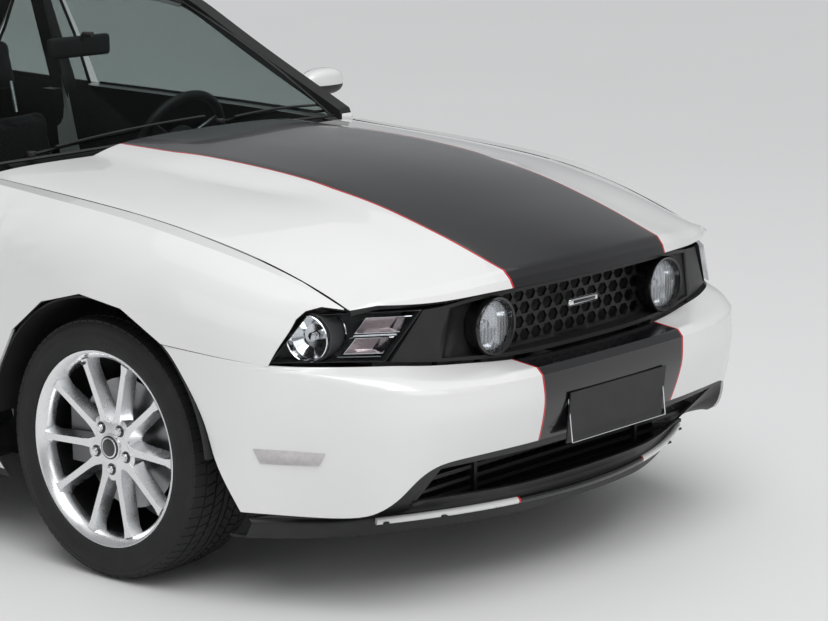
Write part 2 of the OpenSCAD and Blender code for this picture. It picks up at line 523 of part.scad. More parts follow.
module quarter_windows() {
    g = placed([for (j = [2:-1:0]) [for (i = [0:3]) let(u = i / 3, v = j / 2)
        mix(glass_foot(mix(quarter_start + 8, 3290, u), 0.5),
            mix([600, quarter_start - 42, 1334], [584, 2900, 1336], u), v) + [10 * sin(180 * v), 0, 0]]]);
    color("slategray", 0.5) both() wall(g, moved(g, [-glass_t, 0, 0]));
}

// ---- Trunk lid, rear bumper and tail lights ----
// Half width, station and height down the middle of the lid
trunk_path = [[3905, 1080], [3940, 1090], [4100, 1098], [4300, 1104], [4500, 1108], [4610, 1116],
    [4655, 1122], [4668, 1112], [4672, 1085], [4690, 1000], [4702, 930], [4708, 872]];
function trunk_half(s) = gap_x(min(s, 4640)) - panel_gap / kx;
module trunk_lid() {
    g = placed(both_sides([for (u = [0, 0.25, 0.5, 0.75, 0.92, 1]) [for (p = trunk_path)
        let(w = trunk_half(p[0])) [u * w, p[0] - 60 * pow(u, 2.4) * ease((p[0] - 3600) / 900)
            - (p[0] < 4000 ? 50 * u * u : 0), p[1] - 16 * pow(u, 3)]]]));
    color("white") wall(g, inset(g, panel_t * 1.5));
}
tail_line = [[0, 0, 4753], [1, 200, 4750], [2, 400, 4738], [3, 560, 4715], [4, 680, 4670],
    [5, 765, 4600], [6, 820, 4520], [7, 852, 4440], [8, 878, 4360], [9, 905, 4240], [10, 924, 4120],
    [11, 934, 4000], [12, 937, 3850]];
function tail_xy(t) = [rail(pick(tail_line, 1), t), rail(pick(tail_line, 2), t)];
function tail_out(t) = let(d = unit(tail_xy(min(12, t + 0.05)) - tail_xy(max(0, t - 0.05)))) [-d.y, d.x];
tail_rows = [[690, 14], [650, 2], [600, 0], [520, 2], [440, 8], [400, 20], [350, 36], [300, 60]];
function arch_back(z) = ref_rear + sqrt(max(0, pow(arch_r, 2) - pow(max(z, arch_z) - arch_z, 2)));
tail_steps = [0, 1, 2, 3, 3.6, 4.2, 4.8, 5.4, 6, 7, 8];
function tail_point(i, r) =
    let(far = rail([[3850, 12], [4000, 11], [4120, 10], [4240, 9]], arch_back(r[0])),
        t = i < len(tail_steps) ? tail_steps[i] : mix(8, far, (i - len(tail_steps) + 1) / 4),
        p = tail_xy(t) - r[1] * (t > 6 ? 1 - 0.6 * ease((t - 6) / 4) : 1) * tail_out(t)) [p.x, p.y, r[0]];
module rear_bumper() {
    g = placed(both_sides([for (i = [0:len(tail_steps) + 3]) [for (r = tail_rows) tail_point(i, r)]]));
    panel = placed(both_sides([for (x = [0, 250, 500, 640]) [for (r = [[860, 40], [780, 40], [700, 40], [690.5, 15]])
        let(t = rail([[0, 0], [250, 1.2], [500, 2.6], [640, 3.6]], x), p = tail_xy(t) - r[1] * tail_out(t))
            [p.x, p.y, r[0]]]]));
    color("white") {
        wall(g, inset(g, bumper_t));
        wall(panel, inset(panel, bumper_t));
    }
}
light_t = [8.4, 8.4, 7.2];
module tail_lights() {
    color("firebrick") both() for (k = [0:2]) {
        g = placed([for (i = [0:2]) [for (z = [850, 790, 720]) let(t = 2 + 0.68 * k + 0.28 * i,
            p = tail_xy(t) - 32 * tail_out(t)) [p.x, p.y, z]]]);
        wall(g, inset(g, light_t[k]));
    }
}

// ---- Floor, engine, cabin ----
floor_t = 4;
seat_step_s = 2880;
trunk_wall_s = 3460;
trunk_floor_z = 500;
liner_r = arch_r - 8;
module slab(s1, s2, half, z, h) {
    translate(place([-half, s1, z])) cube([2 * half * kx, along(s2) - along(s1), h]);
}
module floor_pan() {
    color("dimgray") {
        slab(firewall_s - 6, seat_step_s, 690, 196, floor_t);
        translate(place([-110, firewall_s, 198])) cube([220 * kx, along(seat_step_s) - along(1480), 130 * kz]);
        translate(place([-622, firewall_s - 6, 200])) cube([1244 * kx, 20, (firewall_top - 200) * kz - 11.5]);
        // Step to the rear seat, its floor, the trunk wall and floor, and the tail panel
        slab(seat_step_s - 4, seat_step_s + 8, 690, 196, 108 * kz);
        slab(seat_step_s, trunk_wall_s, 530, 300, floor_t);
        slab(trunk_wall_s - 12, trunk_wall_s, 530, 300, 212 * kz);
        slab(trunk_wall_s - 12, 4600, 539.7, trunk_floor_z, 12);
        slab(4590, 4602, 540, trunk_floor_z, 380 * kz);
        // Front rails, the beam that carries the bumper, and the hood stops
        both() translate(place([380, 150, 440])) cube([56, along(1470) - along(150), 90 * kz]);
        slab(150, 200, 520, 450, 70 * kz);
        both() translate(place([408, 240, 500])) cylinder(r = 12, h = 319.4 * kz);
        both() translate(place([290, 4596, 850])) cube([20, along(4694) - along(4596), 17.6]);
        // Spring towers
        both() translate([590, front_y, tyre_r + liner_r + 0.4]) cylinder(r = 80, h = 125 * kz);
        both() translate([430, front_y - 70, tyre_r + liner_r + 0.4]) cube([110, 140, 30]);
        both() translate([430, front_y - 70, 520 * kz]) cube([16, 140, tyre_r + liner_r + 10 - 520 * kz]);
        // Lift pads inboard of the sills
        both() for (s = [1620, 2820]) translate(place([640, s, 180])) cylinder(r = 30, h = 17);
    }
}
module engine_block() {
    color("gray") translate([-290, front_y - 380, 280.4]) cube([580, 720, 570 * kz]);
}
module dashboard() {
    color("black") {
        hull() for (x = [-618, 618]) {
            translate([x * kx, along(1700), 868 * kz]) rotate([0, 90, 0]) cylinder(r = 70, h = 1, center = true, $fn = 20);
            translate([x * kx, along(1580), 884 * kz]) rotate([0, 90, 0]) cylinder(r = 40, h = 1, center = true, $fn = 20);
        }
        translate(place([-98, 1700, 328.4])) cube([196 * kx, along(2600) - along(1700), 190 * kz]);
        translate(place([-120, 1640, 329])) cube([240 * kx, 110, 500 * kz]);
    }
}
column_s = 1930;
wheel_z = 893;
wheel_tilt = 22;
module on_column() {
    translate(place([seat_x, column_s, wheel_z])) rotate([wheel_tilt, 0, 0]) children();
}
module steering_wheel() {
    color("black") on_column() rotate([90, 0, 0]) {
        rotate_extrude() translate([wheel_d / 2 - 15, 0]) circle(r = 15);
        translate([0, 0, -20]) cylinder(r = 75, h = 35);
        for (a = [0, 120, 240]) rotate([0, 0, a - 30]) translate([60, -16, -8]) cube([wheel_d / 2 - 80, 32, 12]);
        translate([0, 0, 10]) cylinder(r = 26, h = 153.4);
    }
}
module cushion(size, r) {
    hull() for (x = [r, size.x - r]) for (y = [r, size.y - r]) for (z = [r, size.z - r])
        translate([x, y, z]) sphere(r = r, $fn = 12);
}
seat_s = 2060;
module front_seat(side) {
    color("dimgray") on_side(side) translate([seat_x * kx - seat_w / 2, along(seat_s), 0]) {
        translate([0, 0, 360 * kz]) cushion([seat_w, 540, 130], 50);
        translate([20, 500, 400 * kz]) rotate([-18, 0, 0]) cushion([seat_w - 40, 130, 600 * kz], 50);
        translate([seat_w / 2 - 130, 722, 1000 * kz]) rotate([-14, 0, 0]) cushion([260, 100, 180 * kz], 40);
        for (x = [-60, 60]) translate([seat_w / 2 + x, 750, 940 * kz]) rotate([-14, 0, 0]) cylinder(r = 7, h = 90);
        translate([60, 30, 200.3 * kz]) cube([seat_w - 120, 420, 190 * kz]);
    }
}
module rear_seat() {
    color("dimgray") {
        translate(place([-510, 2900, 302.7])) cushion([1020 * kx, 460, 150], 45);
        translate(place([-510, 3246, 400])) rotate([-24, 0, 0]) cushion([1020 * kx, 120, 560 * kz], 45);
    }
}

// ---- Running gear ----
rim_w = 229;
lip_out = 112;
function axle_y(end) = end == "front" ? front_y : rear_y;
module at_wheel(end, side) {
    translate([side == "right" ? -track / 2 : track / 2, axle_y(end), tyre_r])
        rotate([0, 0, side == "right" ? 180 : 0]) rotate([0, 90, 0]) children();
}
module tyre() {
    w = tyre_w / 2;
    color("black") rotate_extrude($fn = 96) polygon([[rim_r - 11, -lip_out + 9.6], [rim_r + 0.4, -lip_out + 6.6],
        [rim_r + 0.4, -lip_out], [rim_r + 8, -w + 4],
        [rim_r + 30, -w], [tyre_r - 34, -w + 4], [tyre_r - 14, -w + 16], [tyre_r - 3, -w + 38],
        [tyre_r, 0], [tyre_r - 3, w - 38], [tyre_r - 14, w - 16], [tyre_r - 34, w - 4],
        [rim_r + 30, w], [rim_r + 8, w - 4], [rim_r + 0.4, lip_out],
        [rim_r + 0.4, lip_out - 6.6], [rim_r - 11, lip_out - 9.6]]);
}
spokes = 5;
hub_r = 62;
module rim() {
    color("silver") {
        rotate_extrude($fn = 96) polygon([[rim_r - 26, -lip_out], [rim_r, -lip_out],
            [rim_r, -lip_out + 6], [rim_r - 11.3, -lip_out + 9], [rim_r - 11.3, lip_out - 9], [rim_r, lip_out - 6], [rim_r, lip_out], [rim_r - 14, lip_out],
            [rim_r - 24, lip_out - 14], [rim_r - 28, lip_out - 40], [rim_r - 20, -lip_out + 20]]);
        translate([0, 0, 48]) cylinder(r = hub_r, h = 34);
        for (i = [0:spokes - 1]) for (a = [-11, 11]) rotate([0, 0, 360 / spokes * i + a])
            translate([50, -12 + a * 0.4, 62]) cube([rim_r - 74, 24, 26]);
    }
}
module brake_disc(end) {
    color("gainsboro") {
        translate([0, 0, -6]) cylinder(r = end == "front" ? disc_r : disc_r - 14, h = 26);
        translate([0, 0, -6]) cylinder(r = 78, h = 53.7);
    }
}
pivot_low = [742, 0, 214];
pivot_top = [592, 0, 850];
pivot_lean = atan((pivot_low.x - pivot_top.x) / (pivot_top.z - pivot_low.z));
module knuckle(side) {
    color("gray") on_side(side) translate([0, front_y, 0]) {
        translate([track / 2 - 6.4, 0, tyre_r]) rotate([0, -90, 0]) cylinder(r = 45, h = 62);
        hull() {
            translate(pivot_low) rotate([0, -pivot_lean, 0]) translate([0, 0, 0.5]) cylinder(r = 22, h = 20, $fn = 24);
            translate([track / 2 - 60, 0, tyre_r]) rotate([0, -90, 0]) cylinder(r = 40, h = 20, $fn = 24);
        }
        hull() {
            translate([track / 2 - 60, 0, tyre_r]) rotate([0, -90, 0]) cylinder(r = 30, h = 20, $fn = 24);
            translate([pivot_top.x + 18, 0, 520]) cylinder(r = 26, h = 30, $fn = 24);
        }
        translate([pivot_top.x + 10, 0, 500]) rotate([0, -2, 0]) cylinder(r = 26, h = 190);
        // Caliper around the rear edge of the disc
        difference() {
            translate([track / 2 - 30, 96, tyre_r - 70]) cube([74, 92, 150]);
            translate([track / 2 - 12, 0, tyre_r]) rotate([0, 90, 0]) cylinder(r = disc_r + 6, h = 38);
        }
        translate([track / 2 - 62, 0, tyre_r - 30]) cube([36, 150, 60]);
    }
}
module front_subframe() {
    color("dimgray") {
        translate([-330, front_y - 60, 200]) cube([660, 160, 80]);
        both() hull() {
            translate([pivot_low.x - 2, front_y, pivot_low.z - 30]) cylinder(r = 17, h = 20, $fn = 24);
            translate([330, front_y + 20, pivot_low.z - 34]) cylinder(r = 50, h = 34, $fn = 24);
        }
        both() translate(pivot_low + [0, front_y, 0]) rotate([0, -pivot_lean, 0]) translate([0, 0, -24])
            cylinder(r = 17, h = 24);
        both() translate([350, front_y - 40, 202]) cube([70, 80, 440 * kz - 202.4]);
    }
}
module rear_axle() {
    half = track / 2 - 6.4;
    color("dimgray") {
        translate([-half, rear_y, tyre_r]) rotate([0, 90, 0]) cylinder(r = 38, h = 2 * half);
        translate([0, rear_y, tyre_r]) rotate([0, 90, 0]) rotate_extrude()
            polygon([[0, -130], [60, -130], [125, -70], [135, 0], [125, 70], [60, 130], [0, 130]]);
        both() translate([420, rear_y, tyre_r + 30]) cylinder(r = 55, h = trunk_floor_z * kz - tyre_r - 30.4);
        both() translate([480, rear_y - 480, tyre_r - 110]) cube([40, 460, 40]);
        both() translate([480, rear_y - 60, tyre_r - 110]) cube([40, 60, 110]);
    }
}
pipe_z = 158;
muffler_s = 4180;
module exhaust() {
    color("silver") both() {
        translate([300, along(1300), pipe_z]) rotate([-90, 0, 0]) cylinder(r = 32, h = along(muffler_s) - along(1300));
        for (s = [1700, 2700]) translate([290, along(s), pipe_z]) cube([20, 30, 195.6 - pipe_z]);
        hull() for (x = [340, 540]) translate([x, along(muffler_s) - 10, 235]) rotate([-90, 0, 0]) cylinder(r = 78, h = 320, $fn = 32);
        translate([560, along(muffler_s), 235]) rotate([-90, 0, 0]) cylinder(r = 38, h = along(4735) - along(muffler_s));
    }
}
liner_in = 540;
module wheel_liners() {
    color("black") both() for (y = [front_y, rear_y])
        translate([liner_in, y, tyre_r]) rotate([0, 90, 0]) difference() {
            cylinder(r = liner_r, h = 905 * kx - liner_in, $fn = 64);
            translate([0, 0, -1]) cylinder(r = liner_r - 5, h = 400, $fn = 64);
            translate([-40, -600, -1]) cube([900, 1200, 402]);
        }
}

floor_pan();
body_side("left");  // body_side_left
body_side("right");  // body_side_right
roof();
front_fender("left");  // front_fender_left
front_fender("right");  // front_fender_right
front_bumper();
lower_front_trim();
grille();
grille_lamps();
headlights();
cowl();
hood();
door("left");  // door_left
door("right");  // door_right
door_glass("left");  // door_glass_left
door_glass("right");  // door_glass_right
door_mirror("left");  // mirror_left
door_mirror("right");  // mirror_right
trunk_lid();
rear_bumper();
tail_lights();
windshield();
rear_window();
quarter_windows();
dashboard();
steering_wheel();
front_seat("left");  // front_seat_left
front_seat("right");  // front_seat_right
rear_seat();
engine_block();
front_subframe();
rear_axle();
exhaust();
wheel_liners();
number_plate();
at_wheel("front", "left") tyre();  // tyre_front_left
at_wheel("front", "right") tyre();  // tyre_front_right
at_wheel("rear", "left") tyre();  // tyre_rear_left
at_wheel("rear", "right") tyre();  // tyre_rear_right
at_wheel("front", "left") rim();  // rim_front_left
at_wheel("front", "right") rim();  // rim_front_right
at_wheel("rear", "left") rim();  // rim_rear_left
at_wheel("rear", "right") rim();  // rim_rear_right
at_wheel("front", "left") brake_disc("front");  // disc_front_left
at_wheel("front", "right") brake_disc("front");  // disc_front_right
at_wheel("rear", "left") brake_disc("rear");  // disc_rear_left
at_wheel("rear", "right") brake_disc("rear");  // disc_rear_right
knuckle("left");  // knuckle_left
knuckle("right");  // knuckle_right
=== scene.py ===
"""A white two-door muscle coupe with a black centre stripe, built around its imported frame."""
import json
import math

import bmesh
import bpy
from mathutils import Matrix, Vector
from mathutils.bvhtree import BVHTree


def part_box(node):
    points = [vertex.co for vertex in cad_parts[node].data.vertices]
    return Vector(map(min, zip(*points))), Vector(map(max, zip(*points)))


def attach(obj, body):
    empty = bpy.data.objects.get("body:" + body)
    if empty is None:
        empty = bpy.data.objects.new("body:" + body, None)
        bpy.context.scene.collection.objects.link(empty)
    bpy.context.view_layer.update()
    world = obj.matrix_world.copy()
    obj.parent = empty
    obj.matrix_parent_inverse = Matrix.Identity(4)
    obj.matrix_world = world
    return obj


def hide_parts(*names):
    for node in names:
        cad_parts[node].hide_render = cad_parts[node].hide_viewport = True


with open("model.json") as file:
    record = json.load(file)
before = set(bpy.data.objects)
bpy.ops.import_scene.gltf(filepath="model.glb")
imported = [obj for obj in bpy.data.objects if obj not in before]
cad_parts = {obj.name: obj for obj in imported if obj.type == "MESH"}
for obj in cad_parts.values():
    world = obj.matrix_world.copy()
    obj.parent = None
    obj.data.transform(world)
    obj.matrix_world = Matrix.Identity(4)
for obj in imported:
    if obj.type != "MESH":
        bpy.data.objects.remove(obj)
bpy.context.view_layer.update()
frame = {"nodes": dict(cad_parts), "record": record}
nodes = frame["nodes"]

# ---- Places: stations run back from the nose datum, 0.94 m ahead of the front axle ----


def middle(node):
    low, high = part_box(node)
    return (Vector(low) + Vector(high)) / 2


FRONT_AXLE = 0.94
FRONT_HUB = middle("disc_front_left")
REAR_HUB = middle("disc_rear_left")
DATUM = FRONT_HUB.y - FRONT_AXLE
SIDES = {"left": 1, "right": -1}


def at(x, station, z):
    return Vector((x, DATUM + station, z))


# ---- Materials ----
class Value:
    """One shader value: arithmetic on it adds Math nodes."""

    def __init__(self, finish, socket):
        self.finish = finish
        self.socket = socket

    def math(self, operation, a, b=0.0):
        node = self.finish.node("ShaderNodeMath", {"operation": operation}, {0: a, 1: b})
        return Value(self.finish, node.outputs[0])

    def __add__(self, other):
        return self.math("ADD", self, other)

    def __sub__(self, other):
        return self.math("SUBTRACT", self, other)

    def __mul__(self, other):
        return self.math("MULTIPLY", self, other)

    def __lt__(self, other):
        return self.math("LESS_THAN", self, other)

    def __gt__(self, other):
        return self.math("GREATER_THAN", self, other)

    def __rsub__(self, other):
        return self.math("SUBTRACT", other, self)

    def __abs__(self):
        return self.math("ABSOLUTE", self)

    def least(self, other):
        return self.math("MINIMUM", self, other)

    def sine(self):
        return self.math("SINE", self)

    __radd__ = __add__
    __rmul__ = __mul__


class Finish:
    """A material: its node tree with one surface shader."""

    def __init__(self, name, **constants):
        self.material = bpy.data.materials.new(name)
        self.material.use_nodes = True
        self.tree = self.material.node_tree
        self.tree.nodes.clear()
        self.out = self.node("ShaderNodeOutputMaterial")
        self.shader = self.node("ShaderNodeBsdfPrincipled")
        for key, value in constants.items():
            self.shader.inputs[key.replace("_", " ")].default_value = value
        self.link(self.shader.outputs[0], self.out.inputs[0])
        spot = self.node("ShaderNodeTexCoord").outputs["Object"]
        self.spot = spot
        axes = self.node("ShaderNodeSeparateXYZ", {}, {0: spot})
        self.x, self.y, self.z = (Value(self, axes.outputs[i]) for i in range(3))

    def node(self, kind, settings=None, inputs=None):
        made = self.tree.nodes.new(kind)
        for key, value in (settings or {}).items():
            if key == "stops":
                set_stops(made.color_ramp, value)
            else:
                setattr(made, key, value)
        for key, value in (inputs or {}).items():
            self.feed(made.inputs[key], value)
        return made

    def link(self, source, target):
        self.tree.links.new(source, target)

    def feed(self, socket, value):
        if isinstance(value, Value):
            self.link(value.socket, socket)
        elif isinstance(value, bpy.types.NodeSocket):
            self.link(value, socket)
        else:
            socket.default_value = value

    def set(self, **inputs):
        for key, value in inputs.items():
            self.feed(self.shader.inputs[key.replace("_", " ")], value)
        return self

    def noise(self, scale, detail=2.0, stretch=(1, 1, 1), rough=0.5):
        spot = self.node("ShaderNodeMapping", {}, {"Vector": self.spot, "Scale": stretch})
        made = self.node("ShaderNodeTexNoise", {}, {"Vector": spot.outputs[0], "Scale": scale,
                         "Detail": detail, "Roughness": rough})
        return Value(self, made.outputs[0])

    def cells(self, scale, feature="F1"):
        made = self.node("ShaderNodeTexVoronoi", {"feature": feature},
                         {"Vector": self.spot, "Scale": scale})
        return Value(self, made.outputs["Distance"])

    def ramp(self, value, *stops):
        return self.node("ShaderNodeValToRGB", {"stops": stops}, {0: value}).outputs[0]

    def spread(self, value, low, high):
        made = self.node("ShaderNodeMapRange", {}, {0: value, 3: low, 4: high})
        return Value(self, made.outputs[0])

    def blend(self, mask, first, second):
        made = self.node("ShaderNodeMix", {"data_type": "RGBA"}, {0: mask, 6: first, 7: second})
        return made.outputs[2]

    def bump(self, height, strength=0.3, distance=0.001):
        made = self.node("ShaderNodeBump", {}, {"Height": height, "Strength": strength,
                         "Distance": distance})
        return made.outputs[0]


def set_stops(ramp, stops):
    while len(ramp.elements) < len(stops):
        ramp.elements.new(0.5)
    for element, (place, colour) in zip(ramp.elements, stops):
        element.position = place
        element.color = (*colour, 1) if len(colour) == 3 else colour


def grey(level):
    return (level, level, level)


def rgba(colour):
    return (*colour, 1)


STRIPE_HALF = 0.341
PINSTRIPE = 0.006
BLACK = (0.006, 0.006, 0.007)
RED = (0.55, 0.012, 0.02)


def pearl_paint(name, striped):
    """White pearl lacquer; a striped panel carries the black stripe with its red edges."""
    f = Finish(name, Coat_Weight=1.0, Coat_Roughness=0.035, Coat_IOR=1.55, IOR=1.5)
    flake = f.cells(2600)
    pearl = f.ramp(f.noise(2.2, 3), (0.3, (0.775, 0.775, 0.775)), (0.7, (0.82, 0.82, 0.812)))
    colour = pearl
    rough = f.spread(f.noise(9, 3), 0.30, 0.38)
    if striped:
        half = (0.264 + 0.098 * (f.z - 0.228)).least(STRIPE_HALF)
        away = abs(f.x)
        inside = away < half
        edge = inside * (away > half - PINSTRIPE)
        stripe = f.blend(edge, rgba(BLACK), rgba(RED))
        colour = f.blend(inside, pearl, stripe)
        rough = rough - inside * 0.14
        f.set(Coat_Weight=1 - inside * 0.5)
    f.set(Base_Color=colour, Roughness=rough, Metallic=0.0)
    f.set(Normal=f.bump(flake, 0.02, 0.0002))
    return f.material


def satin_black(name, level=0.012, rough=(0.38, 0.5), grain=900, depth=0.12):
    f = Finish(name, IOR=1.45)
    tone = f.noise(14, 4)
    f.set(Base_Color=f.ramp(tone, (0.3, grey(level)), (0.75, grey(level * 1.5))))
    f.set(Roughness=f.spread(f.noise(30, 3), *rough))
    f.set(Normal=f.bump(f.noise(grain, 2), depth, 0.0004))
    return f.material


def gloss_black(name):
    f = Finish(name, Coat_Weight=0.6, Coat_Roughness=0.05)
    f.set(Base_Color=f.ramp(f.noise(20, 2), (0.3, grey(0.004)), (0.8, grey(0.008))))
    f.set(Roughness=f.spread(f.noise(60, 3), 0.16, 0.26))
    return f.material


def bare_metal(name, tone, rough, grain=120, stretch=(1, 1, 1), metal=1.0, depth=0.05, fade=0.82):
    f = Finish(name, Metallic=metal)
    wear = f.noise(grain, 4, stretch)
    dark = tuple(c * fade for c in tone)
    f.set(Base_Color=f.ramp(wear, (0.25, dark), (0.75, tone)))
    f.set(Roughness=f.spread(wear, rough * 0.8, rough * 1.25))
    f.set(Normal=f.bump(wear, depth, 0.0003))
    return f.material


def leather(name, tone):
    f = Finish(name, IOR=1.45, Sheen_Weight=0.1)
    pores = f.cells(420)
    creases = f.noise(60, 5)
    f.set(Base_Color=f.ramp(creases, (0.25, tuple(c * 0.75 for c in tone)), (0.8, tone)))
    f.set(Roughness=f.spread(f.noise(24, 3), 0.42, 0.58))
    f.set(Normal=f.bump(pores + creases * 0.6, 0.35, 0.0006))
    return f.material


def carpet(name, level):
    f = Finish(name, Sheen_Weight=0.25)
    pile = f.noise(700, 3)
    f.set(Base_Color=f.ramp(pile, (0.3, grey(level * 0.6)), (0.7, grey(level * 1.4))))
    f.set(Roughness=f.spread(pile, 0.85, 1.0), Normal=f.bump(pile, 0.8, 0.002))
    return f.material


def sheer_glass(name, tint, weight=0.45):
    """See-through pane or lens: tinted clear body under a Fresnel gloss."""
    f = Finish(name, IOR=1.5, Metallic=0.0)
    haze = f.noise(4, 3)
    f.set(Base_Color=f.ramp(haze, (0.3, grey(0.01)), (0.8, grey(0.02))))
    f.set(Roughness=f.spread(haze, 0.0, 0.03))
    facing = Value(f, f.node("ShaderNodeLayerWeight", {}, {"Blend": 0.5}).outputs["Facing"])
    body = f.node("ShaderNodeBsdfTransparent", {}, {"Color": rgba(tint)})
    gloss = f.shader.outputs[0]
    mask = facing.math("POWER", facing, 4.0) * weight + 0.025
    mixed = f.node("ShaderNodeMixShader", {}, {0: mask, 1: body.outputs[0], 2: gloss})
    f.link(mixed.outputs[0], f.out.inputs[0])
    return f.material


def lamp_lens(name, tone, pitch=620):
    """Moulded lens plastic: a coloured body with fine prisms under a gloss."""
    f = Finish(name, Coat_Weight=1.0, Coat_Roughness=0.03)
    prisms = (f.z * pitch).sine() * (f.x * pitch).sine()
    f.set(Base_Color=f.ramp(prisms, (0.0, tuple(c * 0.7 for c in tone)), (1.0, tone)))
    f.set(Roughness=f.spread(f.noise(40, 2), 0.12, 0.2), Normal=f.bump(prisms, 0.15, 0.0006))
    return f.material


def fluted_lens(name):
    """Clear lamp glass with upright flutes."""
    f = Finish(name, IOR=1.5)
    flutes = (f.x * 520).sine()
    f.set(Base_Color=f.ramp(flutes, (0.0, (0.42, 0.43, 0.44)), (1.0, (0.72, 0.73, 0.74))))
    f.set(Roughness=f.spread(f.noise(30, 2), 0.05, 0.12), Normal=f.bump(flutes, 0.5, 0.0012))
    clear = f.node("ShaderNodeBsdfTransparent", {}, {"Color": (0.93, 0.94, 0.95, 1)})
    weight = f.spread(flutes, 0.10, 0.34)
    mixed = f.node("ShaderNodeMixShader", {}, {0: weight, 1: clear.outputs[0], 2: f.shader.outputs[0]})
    f.link(mixed.outputs[0], f.out.inputs[0])
    return f.material


PAINT = pearl_paint("pearl_white", False)
STRIPED = pearl_paint("pearl_white_striped", True)
SATIN = satin_black("satin_black_trim")
COARSE = satin_black("grained_black_plastic", 0.014, (0.5, 0.62), 500, 0.25)
UNDERBODY = satin_black("underbody_coat", 0.02, (0.7, 0.85), 160, 0.5)
CABIN = satin_black("cabin_plastic", 0.022, (0.5, 0.62), 420, 0.3)
GLOSS_BLACK = gloss_black("gloss_black")
CHROME = bare_metal("bright_chrome", (0.86, 0.87, 0.88), 0.07, 40, depth=0.01)
ALLOY = bare_metal("silver_alloy", (0.86, 0.87, 0.88), 0.27, 30, depth=0.004, fade=0.96)
CAST = bare_metal("cast_metal", (0.24, 0.24, 0.25), 0.5, 200, depth=0.3)
STEEL = bare_metal("disc_steel", (0.34, 0.34, 0.35), 0.3, 90, depth=0.08)
PIPE = bare_metal("exhaust_steel", (0.6, 0.59, 0.57), 0.22, 60, depth=0.05)
SEAT = leather("seat_leather", (0.045, 0.045, 0.048))
GRIP = leather("wheel_leather", (0.02, 0.02, 0.021))
LINING = carpet("roof_lining", 0.22)
PANE = sheer_glass("tinted_pane", (0.74, 0.78, 0.77))
LENS = sheer_glass("clear_lens", (0.95, 0.96, 0.97))
RUBBER = satin_black("tyre_rubber", 0.010, (0.62, 0.78), 700, 0.25)
HOUSING = satin_black("lamp_housing", 0.020, (0.25, 0.4), 300, 0.05)
BARREL = satin_black("lamp_barrel", 0.075, (0.3, 0.42), 600, 0.05)
REFLECTOR = bare_metal("lamp_reflector", (0.88, 0.89, 0.90), 0.10, 60, depth=0.12)
AMBER_TINT = bare_metal("lamp_tint", (0.62, 0.50, 0.50), 0.16, 80, depth=0.2)
MIRROR = bare_metal("mirror_glass", (0.80, 0.82, 0.83), 0.03, 10, depth=0.0)
SATIN_METAL = bare_metal("satin_metal", (0.45, 0.45, 0.46), 0.35, 200)
PLATE = satin_black("plate_enamel", 0.35, (0.3, 0.4), 200, 0.05)
RED_LENS = lamp_lens("red_lens", (0.42, 0.010, 0.014))
MARKER_LENS = bare_metal("marker_lens", (0.56, 0.54, 0.54), 0.22, 60, metal=0.0, depth=0.05, fade=0.8)
MARKER_RIM = bare_metal("marker_rim", (0.14, 0.11, 0.11), 0.3, 60, metal=0.0)
# Painted shade: dark grey for the wheel's barrel, standing in for the shadow inside the bright alloy rim
SHADED_RIM_BARREL = bare_metal("rim_barrel_painted_shade", (0.10, 0.10, 0.105), 0.4, 60)
FLUTED = fluted_lens("fluted_lens")


# ---- Building tools ----
def piece_from(bm, name, materials, body, smooth_angle=35.0, replaces=()):
    """Closes a bmesh into an object at the origin that rides on a CAD body."""
    mesh = bpy.data.meshes.new(name)
    bm.to_mesh(mesh)
    bm.free()
    obj = bpy.data.objects.new(name, mesh)
    bpy.context.scene.collection.objects.link(obj)
    for material in materials if isinstance(materials, (list, tuple)) else [materials]:
        mesh.materials.append(material)
    if smooth_angle is not None:
        mesh.shade_smooth()
        mesh.set_sharp_from_angle(angle=math.radians(smooth_angle))
    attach(obj, body)
    if replaces:
        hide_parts(*replaces)
    return obj


def body_of(node):
    for body, members in frame["record"]["behaviour"]["bodies"].items():
        if node in members:
            return body
    return "body"


def node_copy(node):
    """A CAD node's mesh as a bmesh with its loose triangles merged into quads."""
    bm = bmesh.new()
    bm.from_mesh(nodes[node].data)
    bmesh.ops.remove_doubles(bm, verts=bm.verts, dist=0.00002)
    bmesh.ops.join_triangles(bm, faces=bm.faces, angle_face_threshold=math.radians(12),
                             angle_shape_threshold=math.radians(60))
    return bm


CREASE_ANGLE = math.radians(32)
SILL_TOP = 0.322
BELT = 1.0


def crease(bm, angle=CREASE_ANGLE, amount=1.0):
    layer = bm.edges.layers.float.get("crease_edge") or bm.edges.layers.float.new("crease_edge")
    for edge in bm.edges:
        if len(edge.link_faces) == 2 and edge.calc_face_angle(0) > angle:
            edge[layer] = amount


def rounded(obj, levels=2):
    made = obj.modifiers.new("round", "SUBSURF")
    made.levels = levels
    made.render_levels = levels
    return obj


def panel(node, name, materials, levels=2, choose=None, angle=32.0):
    """A body panel: the CAD panel smoothed between its creases."""
    bm = node_copy(node)
    crease(bm, math.radians(angle))
    if choose:
        bm.normal_update()
        for face in bm.faces:
            face.material_index = choose(face)
    obj = piece_from(bm, name, materials, body_of(node), 30, (node,))
    return rounded(obj, levels)


def inward(face):
    """Whether a side panel's face looks into the cabin or down."""
    centre = face.calc_center_median()
    return int(face.normal.x * centre.x < -0.1 * abs(centre.x) or face.normal.z < -0.6)


def flank_slot(face):
    """Paint outside, trim on the cabin side of the posts, satin black on the sill."""
    centre = face.calc_center_median()
    outward = face.normal.x * math.copysign(1, centre.x)
    if centre.z < SILL_TOP or (centre.z > BELT - 0.03 and face.normal.y < -0.2 and outward < 0.8):
        return 2
    if centre.z > BELT and outward + face.normal.z < 0.25:
        return 1
    if centre.y > DATUM + 4.53 and face.normal.y > 0.3:
        return 0
    return inward(face)


